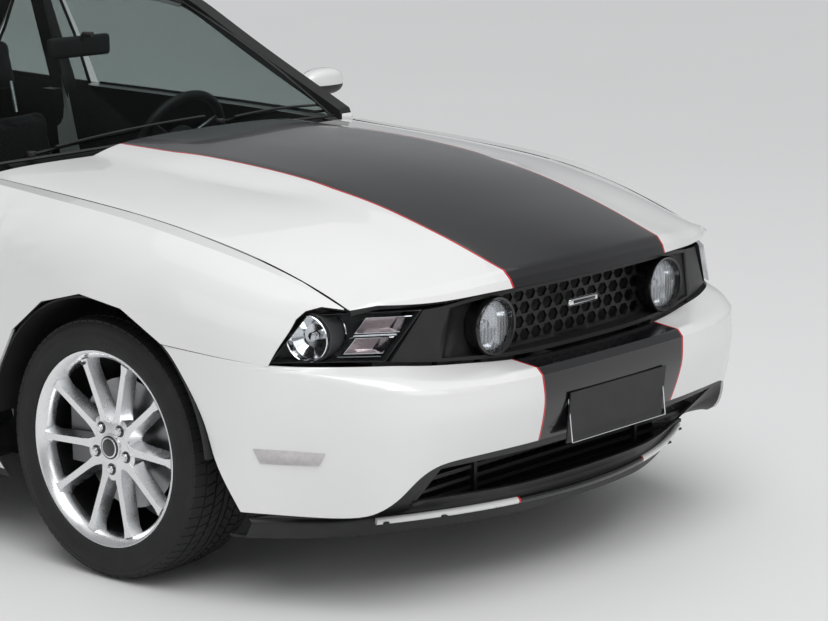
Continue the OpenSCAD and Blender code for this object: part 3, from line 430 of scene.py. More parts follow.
# ---- Body panels ----
panel("hood", "hood_panel", [STRIPED, SATIN], choose=lambda f: int(f.normal.z < -0.3), angle=13)
panel("front_bumper", "front_bumper_cover", [STRIPED], 2)
panel("roof", "roof_panel", [STRIPED, LINING], choose=lambda f: int(f.normal.z < -0.3))
panel("trunk_lid", "trunk_lid_panel", [STRIPED, SATIN], choose=lambda f: int(f.normal.z < -0.3))
panel("rear_bumper", "rear_bumper_cover", [STRIPED], 2)
for side in SIDES:
    panel(f"front_fender_{side}", f"front_fender_panel_{side}", [PAINT, UNDERBODY], choose=inward, angle=16)
    panel(f"door_{side}", f"door_shell_{side}", [PAINT, CABIN], choose=inward)
    panel(f"body_side_{side}", f"quarter_panel_{side}", [PAINT, CABIN, SATIN], choose=flank_slot)
panel("cowl", "cowl_cover", [COARSE])
panel("grille", "grille_frame", [SATIN], 1)
panel("lower_front_trim", "lower_fascia", [SATIN], 1)

for name, material in (("windshield", PANE), ("rear_window", PANE), ("quarter_windows", PANE),
                       ("door_glass_left", PANE), ("door_glass_right", PANE)):
    panel(name, name.replace("window", "glass") + "_pane", [material], 2)

CARRIED = {UNDERBODY: ["floor_pan", "front_subframe", "rear_axle"],
           COARSE: ["wheel_liners"], CAST: ["engine_block", "knuckle_left", "knuckle_right"],
           PIPE: ["exhaust"], CABIN: ["dashboard"], SATIN: ["number_plate"],
           STEEL: [f"disc_{end}_{side}" for end in ("front", "rear") for side in SIDES]}
for material, names in CARRIED.items():
    for name in names:
        slots = nodes[name].material_slots
        for slot in slots:
            slot.material = material


# ---- Shapes made with bmesh operators ----
def lathe(bm, profile, steps=96, angle=2 * math.pi):
    """Spins a closed (along, radius) profile about the X axis of the bmesh."""
    ring = [bm.verts.new((a, 0, r)) for a, r in profile]
    edges = [bm.edges.new((ring[i], ring[(i + 1) % len(ring)])) for i in range(len(ring))]
    bmesh.ops.spin(bm, geom=ring + edges, cent=(0, 0, 0), axis=(1, 0, 0), angle=angle, steps=steps,
                   use_merge=True)
    bmesh.ops.remove_doubles(bm, verts=bm.verts, dist=0.00001)
    bmesh.ops.recalc_face_normals(bm, faces=bm.faces)
    return bm


def block(bm, size, place=(0, 0, 0), turn=None, soft=0.0, segments=2, index=0):
    """A box of a given size with rounded edges, turned and then placed."""
    made = bmesh.ops.create_cube(bm, size=1.0)["verts"]
    bmesh.ops.scale(bm, verts=made, vec=size)
    if soft:
        edges = list({e for v in made for e in v.link_edges})
        cut = bmesh.ops.bevel(bm, geom=edges, offset=soft, segments=segments, profile=0.5,
                              affect="EDGES", material=-1)
        made = list({v for f in cut["faces"] for v in f.verts} | {v for v in made if v.is_valid})
    shift = Matrix.Translation(place) @ (turn.to_4x4() if turn else Matrix.Identity(4))
    bmesh.ops.transform(bm, matrix=shift, verts=made)
    for face in {f for v in made for f in v.link_faces}:
        face.material_index = index
    return made


def disc(bm, radius, depth, place=(0, 0, 0), turn=None, steps=48, soft=0.0, index=0, top=None):
    """A round plate or pin along its own Z axis."""
    made = bmesh.ops.create_cone(bm, cap_ends=True, segments=steps, radius1=radius,
                                 radius2=radius if top is None else top, depth=depth)["verts"]
    if soft:
        edges = list({e for v in made for e in v.link_edges if len(e.link_faces) == 2
                      and e.calc_face_angle(0) > 0.6})
        cut = bmesh.ops.bevel(bm, geom=edges, offset=soft, segments=2, profile=0.5,
                              affect="EDGES", material=-1)
        made = list({v for f in cut["faces"] for v in f.verts} | {v for v in made if v.is_valid})
    shift = Matrix.Translation(place) @ (turn.to_4x4() if turn else Matrix.Identity(4))
    bmesh.ops.transform(bm, matrix=shift, verts=made)
    for face in {f for v in made for f in v.link_faces}:
        face.material_index = index
    return made


def tube(bm, points, radius, sides=8, index=0, flat=1.0):
    """A rod along a line of points, closed at both ends."""
    points = [Vector(p) for p in points]
    ring = bmesh.ops.create_circle(bm, cap_ends=False, segments=sides, radius=radius)["verts"]
    first = (points[1] - points[0]).normalized()
    turn = first.to_track_quat("Z", "Y").to_matrix()
    for v in ring:
        v.co = turn @ Vector((v.co.x, v.co.y * flat, 0)) + points[0]
    rings = [ring]
    for i in range(1, len(points)):
        ahead = points[min(i + 1, len(points) - 1)] - points[i - 1]
        new_turn = ahead.normalized().to_track_quat("Z", "Y").to_matrix()
        edges = list({e for v in rings[-1] for e in v.link_edges if all(w in rings[-1] for w in e.verts)})
        grown = bmesh.ops.extrude_edge_only(bm, edges=edges)["geom"]
        fresh = [g for g in grown if isinstance(g, bmesh.types.BMVert)]
        back = turn.transposed()
        for v in fresh:
            v.co = new_turn @ (back @ (v.co - points[i - 1])) + points[i]
        rings.append(fresh)
        turn = new_turn
    for end in (rings[0], rings[-1]):
        bmesh.ops.contextual_create(bm, geom=end)
    for face in {f for ring in rings for v in ring for f in v.link_faces}:
        face.material_index = index
    bmesh.ops.recalc_face_normals(bm, faces=bm.faces)


def patch(bm, surface, columns=12, rows=8, index=0):
    """A sheet bent to surface(u, v), with u and v from 0 to 1."""
    made = bmesh.ops.create_grid(bm, x_segments=columns, y_segments=rows, size=0.5)["verts"]
    for v in made:
        v.co = surface(v.co.x + 0.5, v.co.y + 0.5)
    for face in {f for v in made for f in v.link_faces}:
        face.material_index = index
    return made


def corners_surface(low_out, low_in, top_in, top_out, bulge=(0, 0, 0), back=(0, 0, 0), margin=0.0):
    """A sheet between four corners, bulged in its middle and moved back; u runs inboard, v up."""
    corners = [Vector(c) for c in (low_out, low_in, top_in, top_out)]

    def surface(u, v):
        u, v = (margin + (1 - 2 * margin) * t for t in (u, v))
        low = corners[0].lerp(corners[1], u)
        top = corners[3].lerp(corners[2], u)
        swell = math.sin(math.pi * u) * math.sin(math.pi * v)
        return low.lerp(top, v) + Vector(bulge) * swell + Vector(back)
    return surface


def thicken(bm, amount):
    bmesh.ops.recalc_face_normals(bm, faces=bm.faces)
    bmesh.ops.solidify(bm, geom=bm.faces, thickness=amount)
    bmesh.ops.recalc_face_normals(bm, faces=bm.faces)


def mirrored(bm):
    """Flips a bmesh to the car's other side."""
    bmesh.ops.scale(bm, verts=bm.verts, vec=(-1, 1, 1))
    bmesh.ops.reverse_faces(bm, faces=bm.faces)
    return bm


# ---- Wheels ----
TYRE_R = 0.339
RIM_R = 0.254
LIP = 0.112
# Rim barrel faces inboard of this get the dark painted-shade material
BARREL_SHADE_EDGE = 0.075
SPOKE_SPREAD = math.radians(17.2)
BLOCKS = 72


def on_wheel(bm, end, side):
    hub = FRONT_HUB if end == "front" else REAR_HUB
    centre = Vector((SIDES[side] * WHEEL_X, hub.y, TYRE_R))
    turn = Matrix.Rotation(0 if side == "left" else math.pi, 4, "Z")
    bmesh.ops.transform(bm, matrix=Matrix.Translation(centre) @ turn, verts=bm.verts)
    return bm


def spoke_turns():
    for k in range(5):
        for lean in (-1, 1):
            yield math.radians(180 + 72 * k) + lean * SPOKE_SPREAD


def spoke(bm, turn):
    """One spoke: a flat front ridge with slanted flanks, wider and deeper at both ends."""
    made = block(bm, (0.030, 0.030, 0.172), (0, 0, 0.146))
    edges = list({e for v in made for e in v.link_edges
                  if abs(e.verts[0].co.z - e.verts[1].co.z) > 0.1})
    bmesh.ops.subdivide_edges(bm, edges=edges, cuts=7, use_grid_fill=True)
    bm.verts.ensure_lookup_table()
    verts = [v for v in bm.verts if not v.tag]
    for v in verts:
        v.tag = True
        t = (v.co.z - 0.06) / 0.172
        front = v.co.x > 0
        flare = 0.55 * max(0.0, (t - 0.86) / 0.14) ** 1.5 + 0.9 * max(0.0, (0.16 - t) / 0.16)
        half = (0.0086 if front else 0.0182) * (1 + flare) * (1.12 - 0.2 * t)
        v.co.y = math.copysign(half, v.co.y)
        v.co.x = (0.081 + 0.017 * t if front else 0.046 + 0.020 * t)
    bmesh.ops.rotate(bm, verts=verts, cent=(0, 0, 0), matrix=Matrix.Rotation(turn, 3, "X"))


def rim_mesh():
    bm = bmesh.new()
    lathe(bm, [(-LIP, 0.232), (-LIP, RIM_R), (-0.106, RIM_R), (-0.103, 0.2428), (0.103, 0.2428),
               (0.106, RIM_R), (0.1105, RIM_R), (0.1118, 0.2525), (0.1112, 0.2490), (0.1085, 0.2455),
               (0.104, 0.2415), (0.097, 0.2350), (0.086, 0.2300), (0.066, 0.2275), (-0.060, 0.2320)],
          128)
    # Barrel faces inboard of the outer lip get the dark barrel material: painted shade seen between the
    # spokes
    for f in bm.faces:
        if f.calc_center_median().x < BARREL_SHADE_EDGE:
            f.material_index = 3
    for v in bm.verts:
        v.tag = True
    for turn in spoke_turns():
        spoke(bm, turn)
    # Five-lobed hub face with a raised ring round the cap
    lobes = bmesh.ops.create_circle(bm, cap_ends=True, segments=120, radius=1.0)["verts"]
    for v in lobes:
        angle = math.atan2(v.co.y, v.co.x)
        reach = 0.076 + 0.011 * math.cos(5 * (angle - math.pi))
        v.co = Vector((0.050, -math.sin(angle) * reach, math.cos(angle) * reach))
    face = lobes[0].link_faces[0]
    grown = bmesh.ops.extrude_face_region(bm, geom=[face])["geom"]
    fresh = [g for g in grown if isinstance(g, bmesh.types.BMVert)]
    for v in fresh:
        v.co.x = 0.0795
    bmesh.ops.inset_region(bm, faces=[g for g in grown if isinstance(g, bmesh.types.BMFace)],
                           thickness=0.006, depth=0.0025)
    bmesh.ops.recalc_face_normals(bm, faces=bm.faces)
    for v in bm.verts:
        v.tag = True
    across = Matrix.Rotation(math.pi / 2, 3, "Y")
    disc(bm, 0.036, 0.006, (0.0835, 0, 0), across, 64, 0.0015)
    for k in range(5):
        turn = Matrix.Rotation(math.radians(180 + 72 * k), 3, "X")
        place = turn @ Vector((0.0818, 0, 0.0572))
        disc(bm, 0.0155, 0.0012, place, across, 40, 0, 1)
        disc(bm, 0.0108, 0.010, place + Vector((0.004, 0, 0)), across, 6, 0.0012, 2)
        disc(bm, 0.0086, 0.004, place + Vector((0.0098, 0, 0)), across, 24, 0.0015, 2)
    disc(bm, 0.0305, 0.003, (0.0875, 0, 0), across, 64, 0.001, 1)
    disc(bm, 0.0265, 0.0018, (0.0893, 0, 0), across, 64, 0.0006, 2)
    disc(bm, 0.0225, 0.0014, (0.0903, 0, 0), across, 64, 0.0005, 1)
    # Valve stem beside one spoke
    stem = Matrix.Rotation(math.radians(20), 3, "X")
    disc(bm, 0.0042, 0.030, stem @ Vector((0.088, 0, 0.222)), across, 16, 0.001, 1)
    return bm


def tyre_mesh():
    bm = bmesh.new()
    side_wall = [(0.1024, 0.2432), (0.1054, 0.2546), (0.1122, 0.2550), (0.1165, 0.2590),
                 (0.1172, 0.2635), (0.1183, 0.2645), (0.1205, 0.2700), (0.1211, 0.2760), (0.1219, 0.2768),
                 (0.1222, 0.2880), (0.1222, 0.2960), (0.1214, 0.2972), (0.1205, 0.3050),
                 (0.1180, 0.3120), (0.1187, 0.3132), (0.1140, 0.3210), (0.1080, 0.3270),
                 (0.0980, 0.3308), (0.0700, 0.3325)]
    profile = side_wall + [(0.0, 0.3332)] + [(-a, r) for a, r in reversed(side_wall)]
    lathe(bm, profile, 144)
    step = 2 * math.pi / BLOCKS
    rows = [(0.0935, 0.033, 0.062, 0.3322, 0.30), (0.058, 0.027, 0.35, 0.3349, 0.10),
            (0.0255, 0.025, 0.75, 0.3354, 0.03)]
    for k in range(BLOCKS):
        for place, wide, slant, radius, tilt in rows:
            for hand in (-1, 1):
                made = block(bm, (wide, 2 * math.pi * TYRE_R / BLOCKS * 0.86, 0.0068), soft=0.0009,
                             segments=1)
                for v in made:
                    v.co.y += slant * v.co.x * hand
                    v.co.z -= max(0.0, v.co.x * hand) * tilt * 1.1 + (v.co.x ** 2) * 1.2
                shift = Matrix.Rotation(k * step, 4, "X") @ Matrix.Translation((hand * place, 0, radius))
                bmesh.ops.transform(bm, matrix=shift, verts=made)
    lathe_rib = bmesh.new()
    lathe(lathe_rib, [(-0.0075, 0.330), (-0.0075, 0.3384), (-0.006, 0.3388), (0.006, 0.3388),
                      (0.0075, 0.3384), (0.0075, 0.330)], 144)
    rib = bpy.data.meshes.new("rib")
    lathe_rib.to_mesh(rib)
    lathe_rib.free()
    bm.from_mesh(rib)
    bpy.data.meshes.remove(rib)
    return bm


def template(bm):
    """Keeps a finished bmesh as a mesh, to be stamped several times."""
    mesh = bpy.data.meshes.new("template")
    bm.to_mesh(mesh)
    bm.free()
    return mesh


def stamped(mesh):
    bm = bmesh.new()
    bm.from_mesh(mesh)
    return bm


def wheels():
    rim, tyre = template(rim_mesh()), template(tyre_mesh())
    for end in ("front", "rear"):
        for side in SIDES:
            body = f"{end}_{side}_wheel"
            piece_from(on_wheel(stamped(rim), end, side), f"alloy_wheel_{end}_{side}",
                       [ALLOY, GLOSS_BLACK, CHROME, SHADED_RIM_BARREL], body, 28, (f"rim_{end}_{side}",))
            piece_from(on_wheel(stamped(tyre), end, side), f"treaded_tyre_{end}_{side}",
                       [RUBBER], body, 40, (f"tyre_{end}_{side}",))
    bpy.data.meshes.remove(rim)
    bpy.data.meshes.remove(tyre)


# ---- Lamps at the front ----
LENS_LOW_OUT = (0.839, 0.390, 0.627)
LENS_LOW_IN = (0.667, 0.176, 0.631)
LENS_TOP_IN = (0.580, 0.136, 0.746)
LENS_TOP_OUT = (0.779, 0.323, 0.741)
ROUND_LAMP = (0.352, 0.110, 0.678)


def lens_corners():
    return [at(*c) for c in (LENS_LOW_OUT, LENS_LOW_IN, LENS_TOP_IN, LENS_TOP_OUT)]


def headlight_glass(bm):
    """The clear outer lens, a thin bowed sheet."""
    patch(bm, corners_surface(*lens_corners(), bulge=(0.010, -0.010, 0.002), margin=0.004), 16, 8)
    thicken(bm, 0.0025)


def headlight_bucket(bm):
    """The dark housing behind the lens, open to the front."""
    front = corners_surface(*lens_corners(), bulge=(0.004, -0.004, 0), back=(-0.006, 0.008, 0), margin=0.008)
    floor = corners_surface(*lens_corners(), back=(-0.030, 0.062, 0), margin=0.03)
    columns, rows = 14, 6
    made = patch(bm, floor, columns, rows)
    edges = list({e for v in made for e in v.link_edges if e.is_boundary})
    grown = bmesh.ops.extrude_edge_only(bm, edges=edges)["geom"]
    for v in (g for g in grown if isinstance(g, bmesh.types.BMVert)):
        u, w = nearest_uv(v.co, floor)
        v.co = front(u, w)
    thicken(bm, 0.002)


def nearest_uv(point, surface, steps=56):
    """The u and v on the rim of a surface closest to a point."""
    rim = [(k / steps, 0.0) for k in range(steps + 1)] + [(k / steps, 1.0) for k in range(steps + 1)]
    rim += [(0.0, k / steps) for k in range(steps + 1)] + [(1.0, k / steps) for k in range(steps + 1)]
    return min(rim, key=lambda q: (surface(*q) - point).length)


def reflector_box(bm, front, u_range, v_range, depth, rim=0.0035):
    """A bright box sunk behind a window of the lens, with a chrome rim round it."""
    def face(u, v):
        return front(u_range[0] + (u_range[1] - u_range[0]) * u, v_range[0] + (v_range[1] - v_range[0]) * v)
    made = patch(bm, face, 6, 3, 0)
    faces = list({f for v in made for f in v.link_faces})
    bmesh.ops.recalc_face_normals(bm, faces=faces)
    ring = bmesh.ops.inset_region(bm, faces=faces, thickness=rim, depth=0.0)
    grown = bmesh.ops.extrude_face_region(bm, geom=faces)["geom"]
    fresh = [g for g in grown if isinstance(g, bmesh.types.BMVert)]
    bmesh.ops.delete(bm, geom=[f for f in faces if f.is_valid], context="FACES")
    bmesh.ops.translate(bm, verts=fresh, vec=depth)
    middle_point = sum((v.co for v in fresh), Vector()) / len(fresh)
    for v in fresh:
        v.co = middle_point.lerp(v.co, 0.80)
    for f in (g for g in grown if isinstance(g, bmesh.types.BMFace)):
        if f.is_valid:
            f.material_index = 1
    return ring


def headlight(side):
    """Housing, projector bowl on a grey barrel, two stacked lamp boxes and their chrome."""
    bm = bmesh.new()
    headlight_bucket(bm)
    hand = 1
    axis = Vector((0.975, -0.222, 0)).normalized()
    turn = axis.to_track_quat("X", "Z").to_matrix()
    centre = at(0.762, 0.336, 0.685)
    # Bowl: chrome rim, bright dish and a small bulb shield
    bowl = bmesh.new()
    lathe(bowl, [(0.012, 0.0540), (0.014, 0.0560), (0.012, 0.0580), (0.006, 0.0580), (-0.010, 0.0560),
                 (-0.034, 0.0300), (-0.040, 0.0), (-0.037, 0.0), (-0.031, 0.0290), (-0.008, 0.0520)], 64)
    for f in bowl.faces:
        f.material_index = 1
    disc(bowl, 0.0105, 0.020, (-0.022, 0, 0), Matrix.Rotation(math.pi / 2, 3, "Y"), 24, 0.002, 1)
    barrel = bmesh.new()
    lathe(barrel, [(0.0, 0.0585), (0.0, 0.0605), (-0.030, 0.0608), (-0.068, 0.0590), (-0.072, 0.0560),
                   (-0.072, 0.0520), (-0.066, 0.0540), (-0.030, 0.0588)], 64)
    for f in barrel.faces:
        f.material_index = 2
    ring = bmesh.new()
    lathe(ring, [(-0.073, 0.050), (-0.0735, 0.0585), (-0.0755, 0.0600), (-0.0775, 0.0585),
                 (-0.077, 0.050)], 64)
    for f in ring.faces:
        f.material_index = 1
    shift = Matrix.Translation(centre) @ turn.to_4x4()
    for part in (bowl, barrel, ring):
        mesh = bpy.data.meshes.new("lamp_part")
        bmesh.ops.transform(part, matrix=shift, verts=part.verts)
        part.to_mesh(mesh)
        part.free()
        bm.from_mesh(mesh)
        bpy.data.meshes.remove(mesh)
    front = corners_surface(*lens_corners(), bulge=(0.006, -0.006, 0), back=(-0.010, 0.014, 0))
    for v_range, u_range in (((0.16, 0.47), (0.60, 0.93)), ((0.58, 0.88), (0.56, 0.955))):
        box = bmesh.new()
        reflector_box(box, front, u_range, v_range, (-0.012, 0.034, 0))
        thicken(box, 0.0012)
        mesh = bpy.data.meshes.new("lamp_box")
        for f in box.faces:
            f.material_index = 1 if f.material_index == 0 else 3
        box.to_mesh(mesh)
        box.free()
        bm.from_mesh(mesh)
        bpy.data.meshes.remove(mesh)
    # Chrome bars between and under the boxes
    for v_at, lean in ((0.525, 0.0022), (0.09, 0.0016)):
        tube(bm, [front(0.56 + 0.38 * k / 8, v_at) for k in range(9)], lean, 8, 1)
    if side == "right":
        mirrored(bm)
    piece_from(bm, f"headlight_inside_{side}", [HOUSING, REFLECTOR, BARREL, AMBER_TINT], "body", 30)
    lens = bmesh.new()
    headlight_glass(lens)
    if side == "right":
        mirrored(lens)
    piece_from(lens, f"headlight_lens_{side}", [LENS], "body", 40, ("headlights",))


def round_lamp(side):
    """A round driving lamp: deep black bezel, bright dish and a fluted, slightly domed lens."""
    bm = bmesh.new()
    face = Matrix.Rotation(-math.pi / 2, 3, "Z")
    lathe(bm, [(0.000, 0.0735), (0.012, 0.0745), (0.018, 0.0715), (0.016, 0.0660), (0.002, 0.0615),
               (-0.030, 0.0600), (-0.030, 0.0680), (-0.004, 0.0700)], 80)
    for f in bm.faces:
        f.material_index = 0
    dish = bmesh.new()
    lathe(dish, [(-0.002, 0.0585), (-0.002, 0.0600), (-0.024, 0.0520), (-0.034, 0.0260), (-0.036, 0.0),
                 (-0.034, 0.0), (-0.032, 0.0250), (-0.022, 0.0500)], 64)
    for f in dish.faces:
        f.material_index = 1
    disc(dish, 0.012, 0.012, (-0.024, 0, 0), Matrix.Rotation(math.pi / 2, 3, "Y"), 24, 0.002, 1)
    mesh = bpy.data.meshes.new("dish")
    dish.to_mesh(mesh)
    dish.free()
    bm.from_mesh(mesh)
    bpy.data.meshes.remove(mesh)
    shift = Matrix.Translation(at(*ROUND_LAMP)) @ face.to_4x4()
    bmesh.ops.transform(bm, matrix=shift, verts=bm.verts)
    lens = bmesh.new()
    lathe(lens, [(0.0, 0.0600), (0.003, 0.0600), (0.0075, 0.0500), (0.0105, 0.0300), (0.0115, 0.0),
                 (0.0085, 0.0), (0.0075, 0.0300), (0.0045, 0.0500)], 96)
    bmesh.ops.transform(lens, matrix=shift, verts=lens.verts)
    if side == "right":
        mirrored(bm)
        mirrored(lens)
    piece_from(bm, f"driving_lamp_bezel_{side}", [GLOSS_BLACK, REFLECTOR], "body", 35)
    piece_from(lens, f"driving_lamp_lens_{side}", [FLUTED], "body", 40, ("grille_lamps",))


MARKER = ((0.8445, 0.424, 0.380), (0.789, 0.284, 0.386), (0.783, 0.268, 0.416), (0.8535, 0.438, 0.415))


def marker_lamp(side):
    """Slim clear side marker let into the bumper, with a red-tinted edge and a ledge above."""
    bm = bmesh.new()
    face = corners_surface(*[at(*c) for c in MARKER], bulge=(0.006, -0.004, 0), back=(0.0005, 0, 0))
    made = patch(bm, face, 14, 4)
    faces = list({f for v in made for f in v.link_faces})
    bmesh.ops.recalc_face_normals(bm, faces=faces)
    bmesh.ops.inset_region(bm, faces=faces, thickness=0.003, depth=0.003)
    for f in bm.faces:
        f.material_index = 0 if f in faces else 1
    thicken(bm, 0.004)
    if side == "right":
        mirrored(bm)
    piece_from(bm, f"side_marker_{side}", [MARKER_LENS, MARKER_RIM], "body", 40)


def intake_shroud():
    """Dark ducting behind the lower opening and the grille, with a fine mesh in front."""
    bm = bmesh.new()
    block(bm, (1.10, 0.020, 0.190), at(0, 0.285, 0.315), None, 0.004)
    block(bm, (0.98, 0.012, 0.160), at(0, 0.186, 0.678), None, 0.003)
    for k in range(5):
        z = 0.262 + 0.030 * k
        block(bm, (1.02, 0.010, 0.006), at(0, 0.262, z), None, 0.0015, 1)
    for k in range(33):
        block(bm, (0.005, 0.012, 0.150), at(-0.512 + 0.032 * k, 0.266, 0.322), None, 0.001, 1)
    # Three tray steps that follow the bow of the lip
    tray_back = 0.330
    for width, near in ((0.66, 0.115), (0.96, 0.160), (1.24, 0.225)):
        place = at(0, (tray_back + near) / 2, 0.212 + 0.003 * width)
        block(bm, (width, tray_back - near, 0.006), place, None, 0.001, 1)
    piece_from(bm, "intake_shroud", [COARSE], "body", 40)


def lip_strip():
    """Painted strip along the front lip, carrying the stripe across its middle."""
    bm = bmesh.new()
    half, nose, sweep = 0.630, 0.0745, 0.435
    spread = [half * (k / 22 - 1) for k in range(45)]
    tube(bm, [at(x, nose + sweep * x * x, 0.2195) for x in spread], 0.0092, 10)
    piece_from(bm, "front_lip_strip", [STRIPED], "body", 50)


def badge():
    """A plain chrome bar badge in the middle of the grille."""
    bm = bmesh.new()
    block(bm, (0.120, 0.010, 0.020), at(0, 0.100, 0.690), None, 0.006, 3)
    block(bm, (0.088, 0.006, 0.008), at(0, 0.0955, 0.690), None, 0.002, 2, 1)
    piece_from(bm, "grille_badge", [CHROME, GLOSS_BLACK], "body", 40)


def plate_frame():
    """Thin bright rim round the blank black plate."""
    low, high = (Vector(c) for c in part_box("number_plate"))
    bm = bmesh.new()
    inset = 0.004
    foot, head = Vector((0, low.y - 0.0012, low.z)), Vector((0, high.y - 0.0052, high.z))
    corners = [Vector((s * (high.x - inset), p.y, p.z)) for s, p in
               ((-1, foot + Vector((0, 0, inset))), (1, foot + Vector((0, 0, inset))),
                (1, head - Vector((0, 0, inset))), (-1, head - Vector((0, 0, inset))))]
    for k in range(4):
        tube(bm, [corners[k], corners[k].lerp(corners[(k + 1) % 4], 0.5), corners[(k + 1) % 4]], 0.0016, 8)
    piece_from(bm, "plate_rim", [CHROME], "body", 40)


# ---- Glass edges, wipers, mirrors ----
def wiper(name, pivot, tip, lift):
    """Arm and blade lying along the foot of the windshield."""
    bm = bmesh.new()
    pivot, tip = Vector(pivot), Vector(tip)
    along = tip - pivot
    disc(bm, 0.014, 0.016, pivot, None, 24, 0.002)
    arm = [pivot.lerp(tip, t) + Vector((0, 0, lift * math.sin(math.pi * t))) for t in
           (0, 0.15, 0.3, 0.45, 0.6)]
    tube(bm, arm, 0.006, 8, 0, 0.6)
    start = pivot.lerp(tip, 0.12)
    blade = [start.lerp(tip, t) + Vector((0, -0.012, 0.010 + 0.006 * math.sin(math.pi * t))) for t in
             [k / 10 for k in range(11)]]
    tube(bm, blade, 0.0055, 8, 0, 0.7)
    piece_from(bm, name, [SATIN], "body", 40)
    return along


def mirror_shell(side):
    """Door mirror: white cap, black lower shell and foot, glass facing back."""
    hand = SIDES[side]
    low, high = (Vector(c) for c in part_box(f"mirror_{side}"))
    centre = at(hand * 0.926, 1.858, 1.045)
    bm = bmesh.new()
    made = bmesh.ops.create_uvsphere(bm, u_segments=40, v_segments=24, radius=1.0)["verts"]
    for v in made:
        p = v.co
        squared = Vector([math.copysign(abs(c) ** 0.72, c) for c in p])
        y = squared.y * 0.044
        if squared.y > 0.25:
            y = 0.25 * 0.044 + (squared.y - 0.25) * 0.010
        taper = 1 - 0.22 * max(0, -hand * p.x)
        v.co = Vector((squared.x * 0.087, y, squared.z * 0.043 * taper))
    bmesh.ops.recalc_face_normals(bm, faces=bm.faces)
    for f in bm.faces:
        c = f.calc_center_median()
        f.material_index = 2 if f.normal.y > 0.8 and abs(c.x) < 0.078 and abs(c.z) < 0.036 else (
            1 if c.z < -0.012 or c.y > 0.008 else 0)
    bmesh.ops.translate(bm, verts=bm.verts, vec=centre)
    foot = at(hand * 0.868, 1.806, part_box(f"mirror_{side}")[0][2] + 0.006)
    elbow = foot.lerp(centre, 0.35) + Vector((0, 0, 0.002))
    tube(bm, [foot, elbow, centre + Vector((-hand * 0.055, 0, -0.016))],
         0.017, 16, 1, 0.62)
    piece_from(bm, f"mirror_housing_{side}", [PAINT, SATIN, MIRROR], f"{side}_door", 45,
               (f"mirror_{side}",))


# ---- Tail, doors and trim ----
def tail_lamp(side):
    """Three upright red bars a side, each a bowed lens in a dark gloss rim."""
    low, high = (Vector(c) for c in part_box("tail_lights"))
    source = bmesh.new()
    source.from_mesh(nodes["tail_lights"].data)
    bmesh.ops.remove_doubles(source, verts=source.verts, dist=0.00002)
    islands = []
    left = set(source.verts)
    while left:
        seed = left.pop()
        group, edge = {seed}, [seed]
        while edge:
            v = edge.pop()
            for e in v.link_edges:
                other = e.other_vert(v)
                if other not in group:
                    group.add(other)
                    edge.append(other)
        left -= group
        islands.append([v.co.copy() for v in group])
    source.free()
    bm = bmesh.new()
    for points in islands:
        centre = sum(points, Vector()) / len(points)
        if centre.x * SIDES[side] < 0:
            continue
        x0, x1 = min(p.x for p in points), max(p.x for p in points)
        inner = max((p for p in points if abs(p.x) < abs(centre.x)), key=lambda p: p.y)
        outer = max((p for p in points if abs(p.x) > abs(centre.x)), key=lambda p: p.y)
        slope = (outer.y - inner.y) / (abs(outer.x) - abs(inner.x) or 1)
        wide, tall = abs(x1 - x0), 0.126
        made = block(bm, (wide - 0.002, 0.018, tall), soft=0.004, segments=2, index=1)
        bright = block(bm, (wide - 0.018, 0.020, tall - 0.018), (0, 0.0012, 0), soft=0.007, segments=3)
        for v in made + bright:
            v.co.y += slope * v.co.x * SIDES[side] - 0.0008
            v.co += Vector(((x0 + x1) / 2, (inner.y + outer.y) / 2 - 0.006, (low.z + high.z) / 2))
    piece_from(bm, f"tail_lamp_bars_{side}", [RED_LENS, GLOSS_BLACK], "body", 35,
               ("tail_lights",))


def door_handle(side):
    """Painted pull handle standing off its cup."""
    hand = SIDES[side]
    bm = bmesh.new()
    y0, y1, z = 2.490, 2.690, 0.802
    x = skin_x(side, (y0 + y1) / 2, z)
    stand_off = ((0.0, 0.000), (0.06, 0.012), (0.2, 0.0165), (0.5, 0.0175), (0.8, 0.0165), (0.94, 0.012),
                 (1.0, 0.000))
    bar = [at(hand * (x + d), y0 + (y1 - y0) * t, z + 0.003 * math.sin(math.pi * t)) for t, d in stand_off]
    tube(bm, bar, 0.0105, 12, 0, 0.62)
    piece_from(bm, f"door_handle_{side}", [PAINT], f"{side}_door", 40)


def skin_x(side, station, z):
    """How far out the car's skin lies at a station and height, by a ray from outside."""
    hand = SIDES[side]
    start = at(hand * 1.3, station, z)
    best = 0.0
    for name in (f"door_{side}", f"body_side_{side}", f"front_fender_{side}", "front_bumper", "rear_bumper"):
        place, _ = skin_point(name, start, Vector((-hand, 0, 0)))
        if place:
            best = max(best, abs(place.x))
    return best


SEARCH_TREES = {}


def skin_point(name, start, direction):
    """Where a ray first meets a CAD node, and the surface's direction there."""
    if name not in SEARCH_TREES:
        bm = bmesh.new()
        bm.from_mesh(nodes[name].data)
        SEARCH_TREES[name] = BVHTree.FromBMesh(bm)
        bm.free()
    place, normal, _, _ = SEARCH_TREES[name].ray_cast(start, direction)
    return place, normal


def fuel_cap():
    """Round filler door set flush in the left quarter."""
    bm = bmesh.new()
    x = skin_x("left", 3.46, 0.86)
    across = Matrix.Rotation(math.pi / 2, 3, "Y")
    tilt = Matrix.Rotation(math.radians(-14), 3, "Y") @ across
    disc(bm, 0.074, 0.003, at(x + 0.0005, 3.46, 0.86), tilt, 64, 0.0008, 1)
    disc(bm, 0.070, 0.004, at(x + 0.0015, 3.46, 0.86), tilt, 64, 0.001, 0)
    piece_from(bm, "filler_door", [PAINT, GLOSS_BLACK], "body", 40)


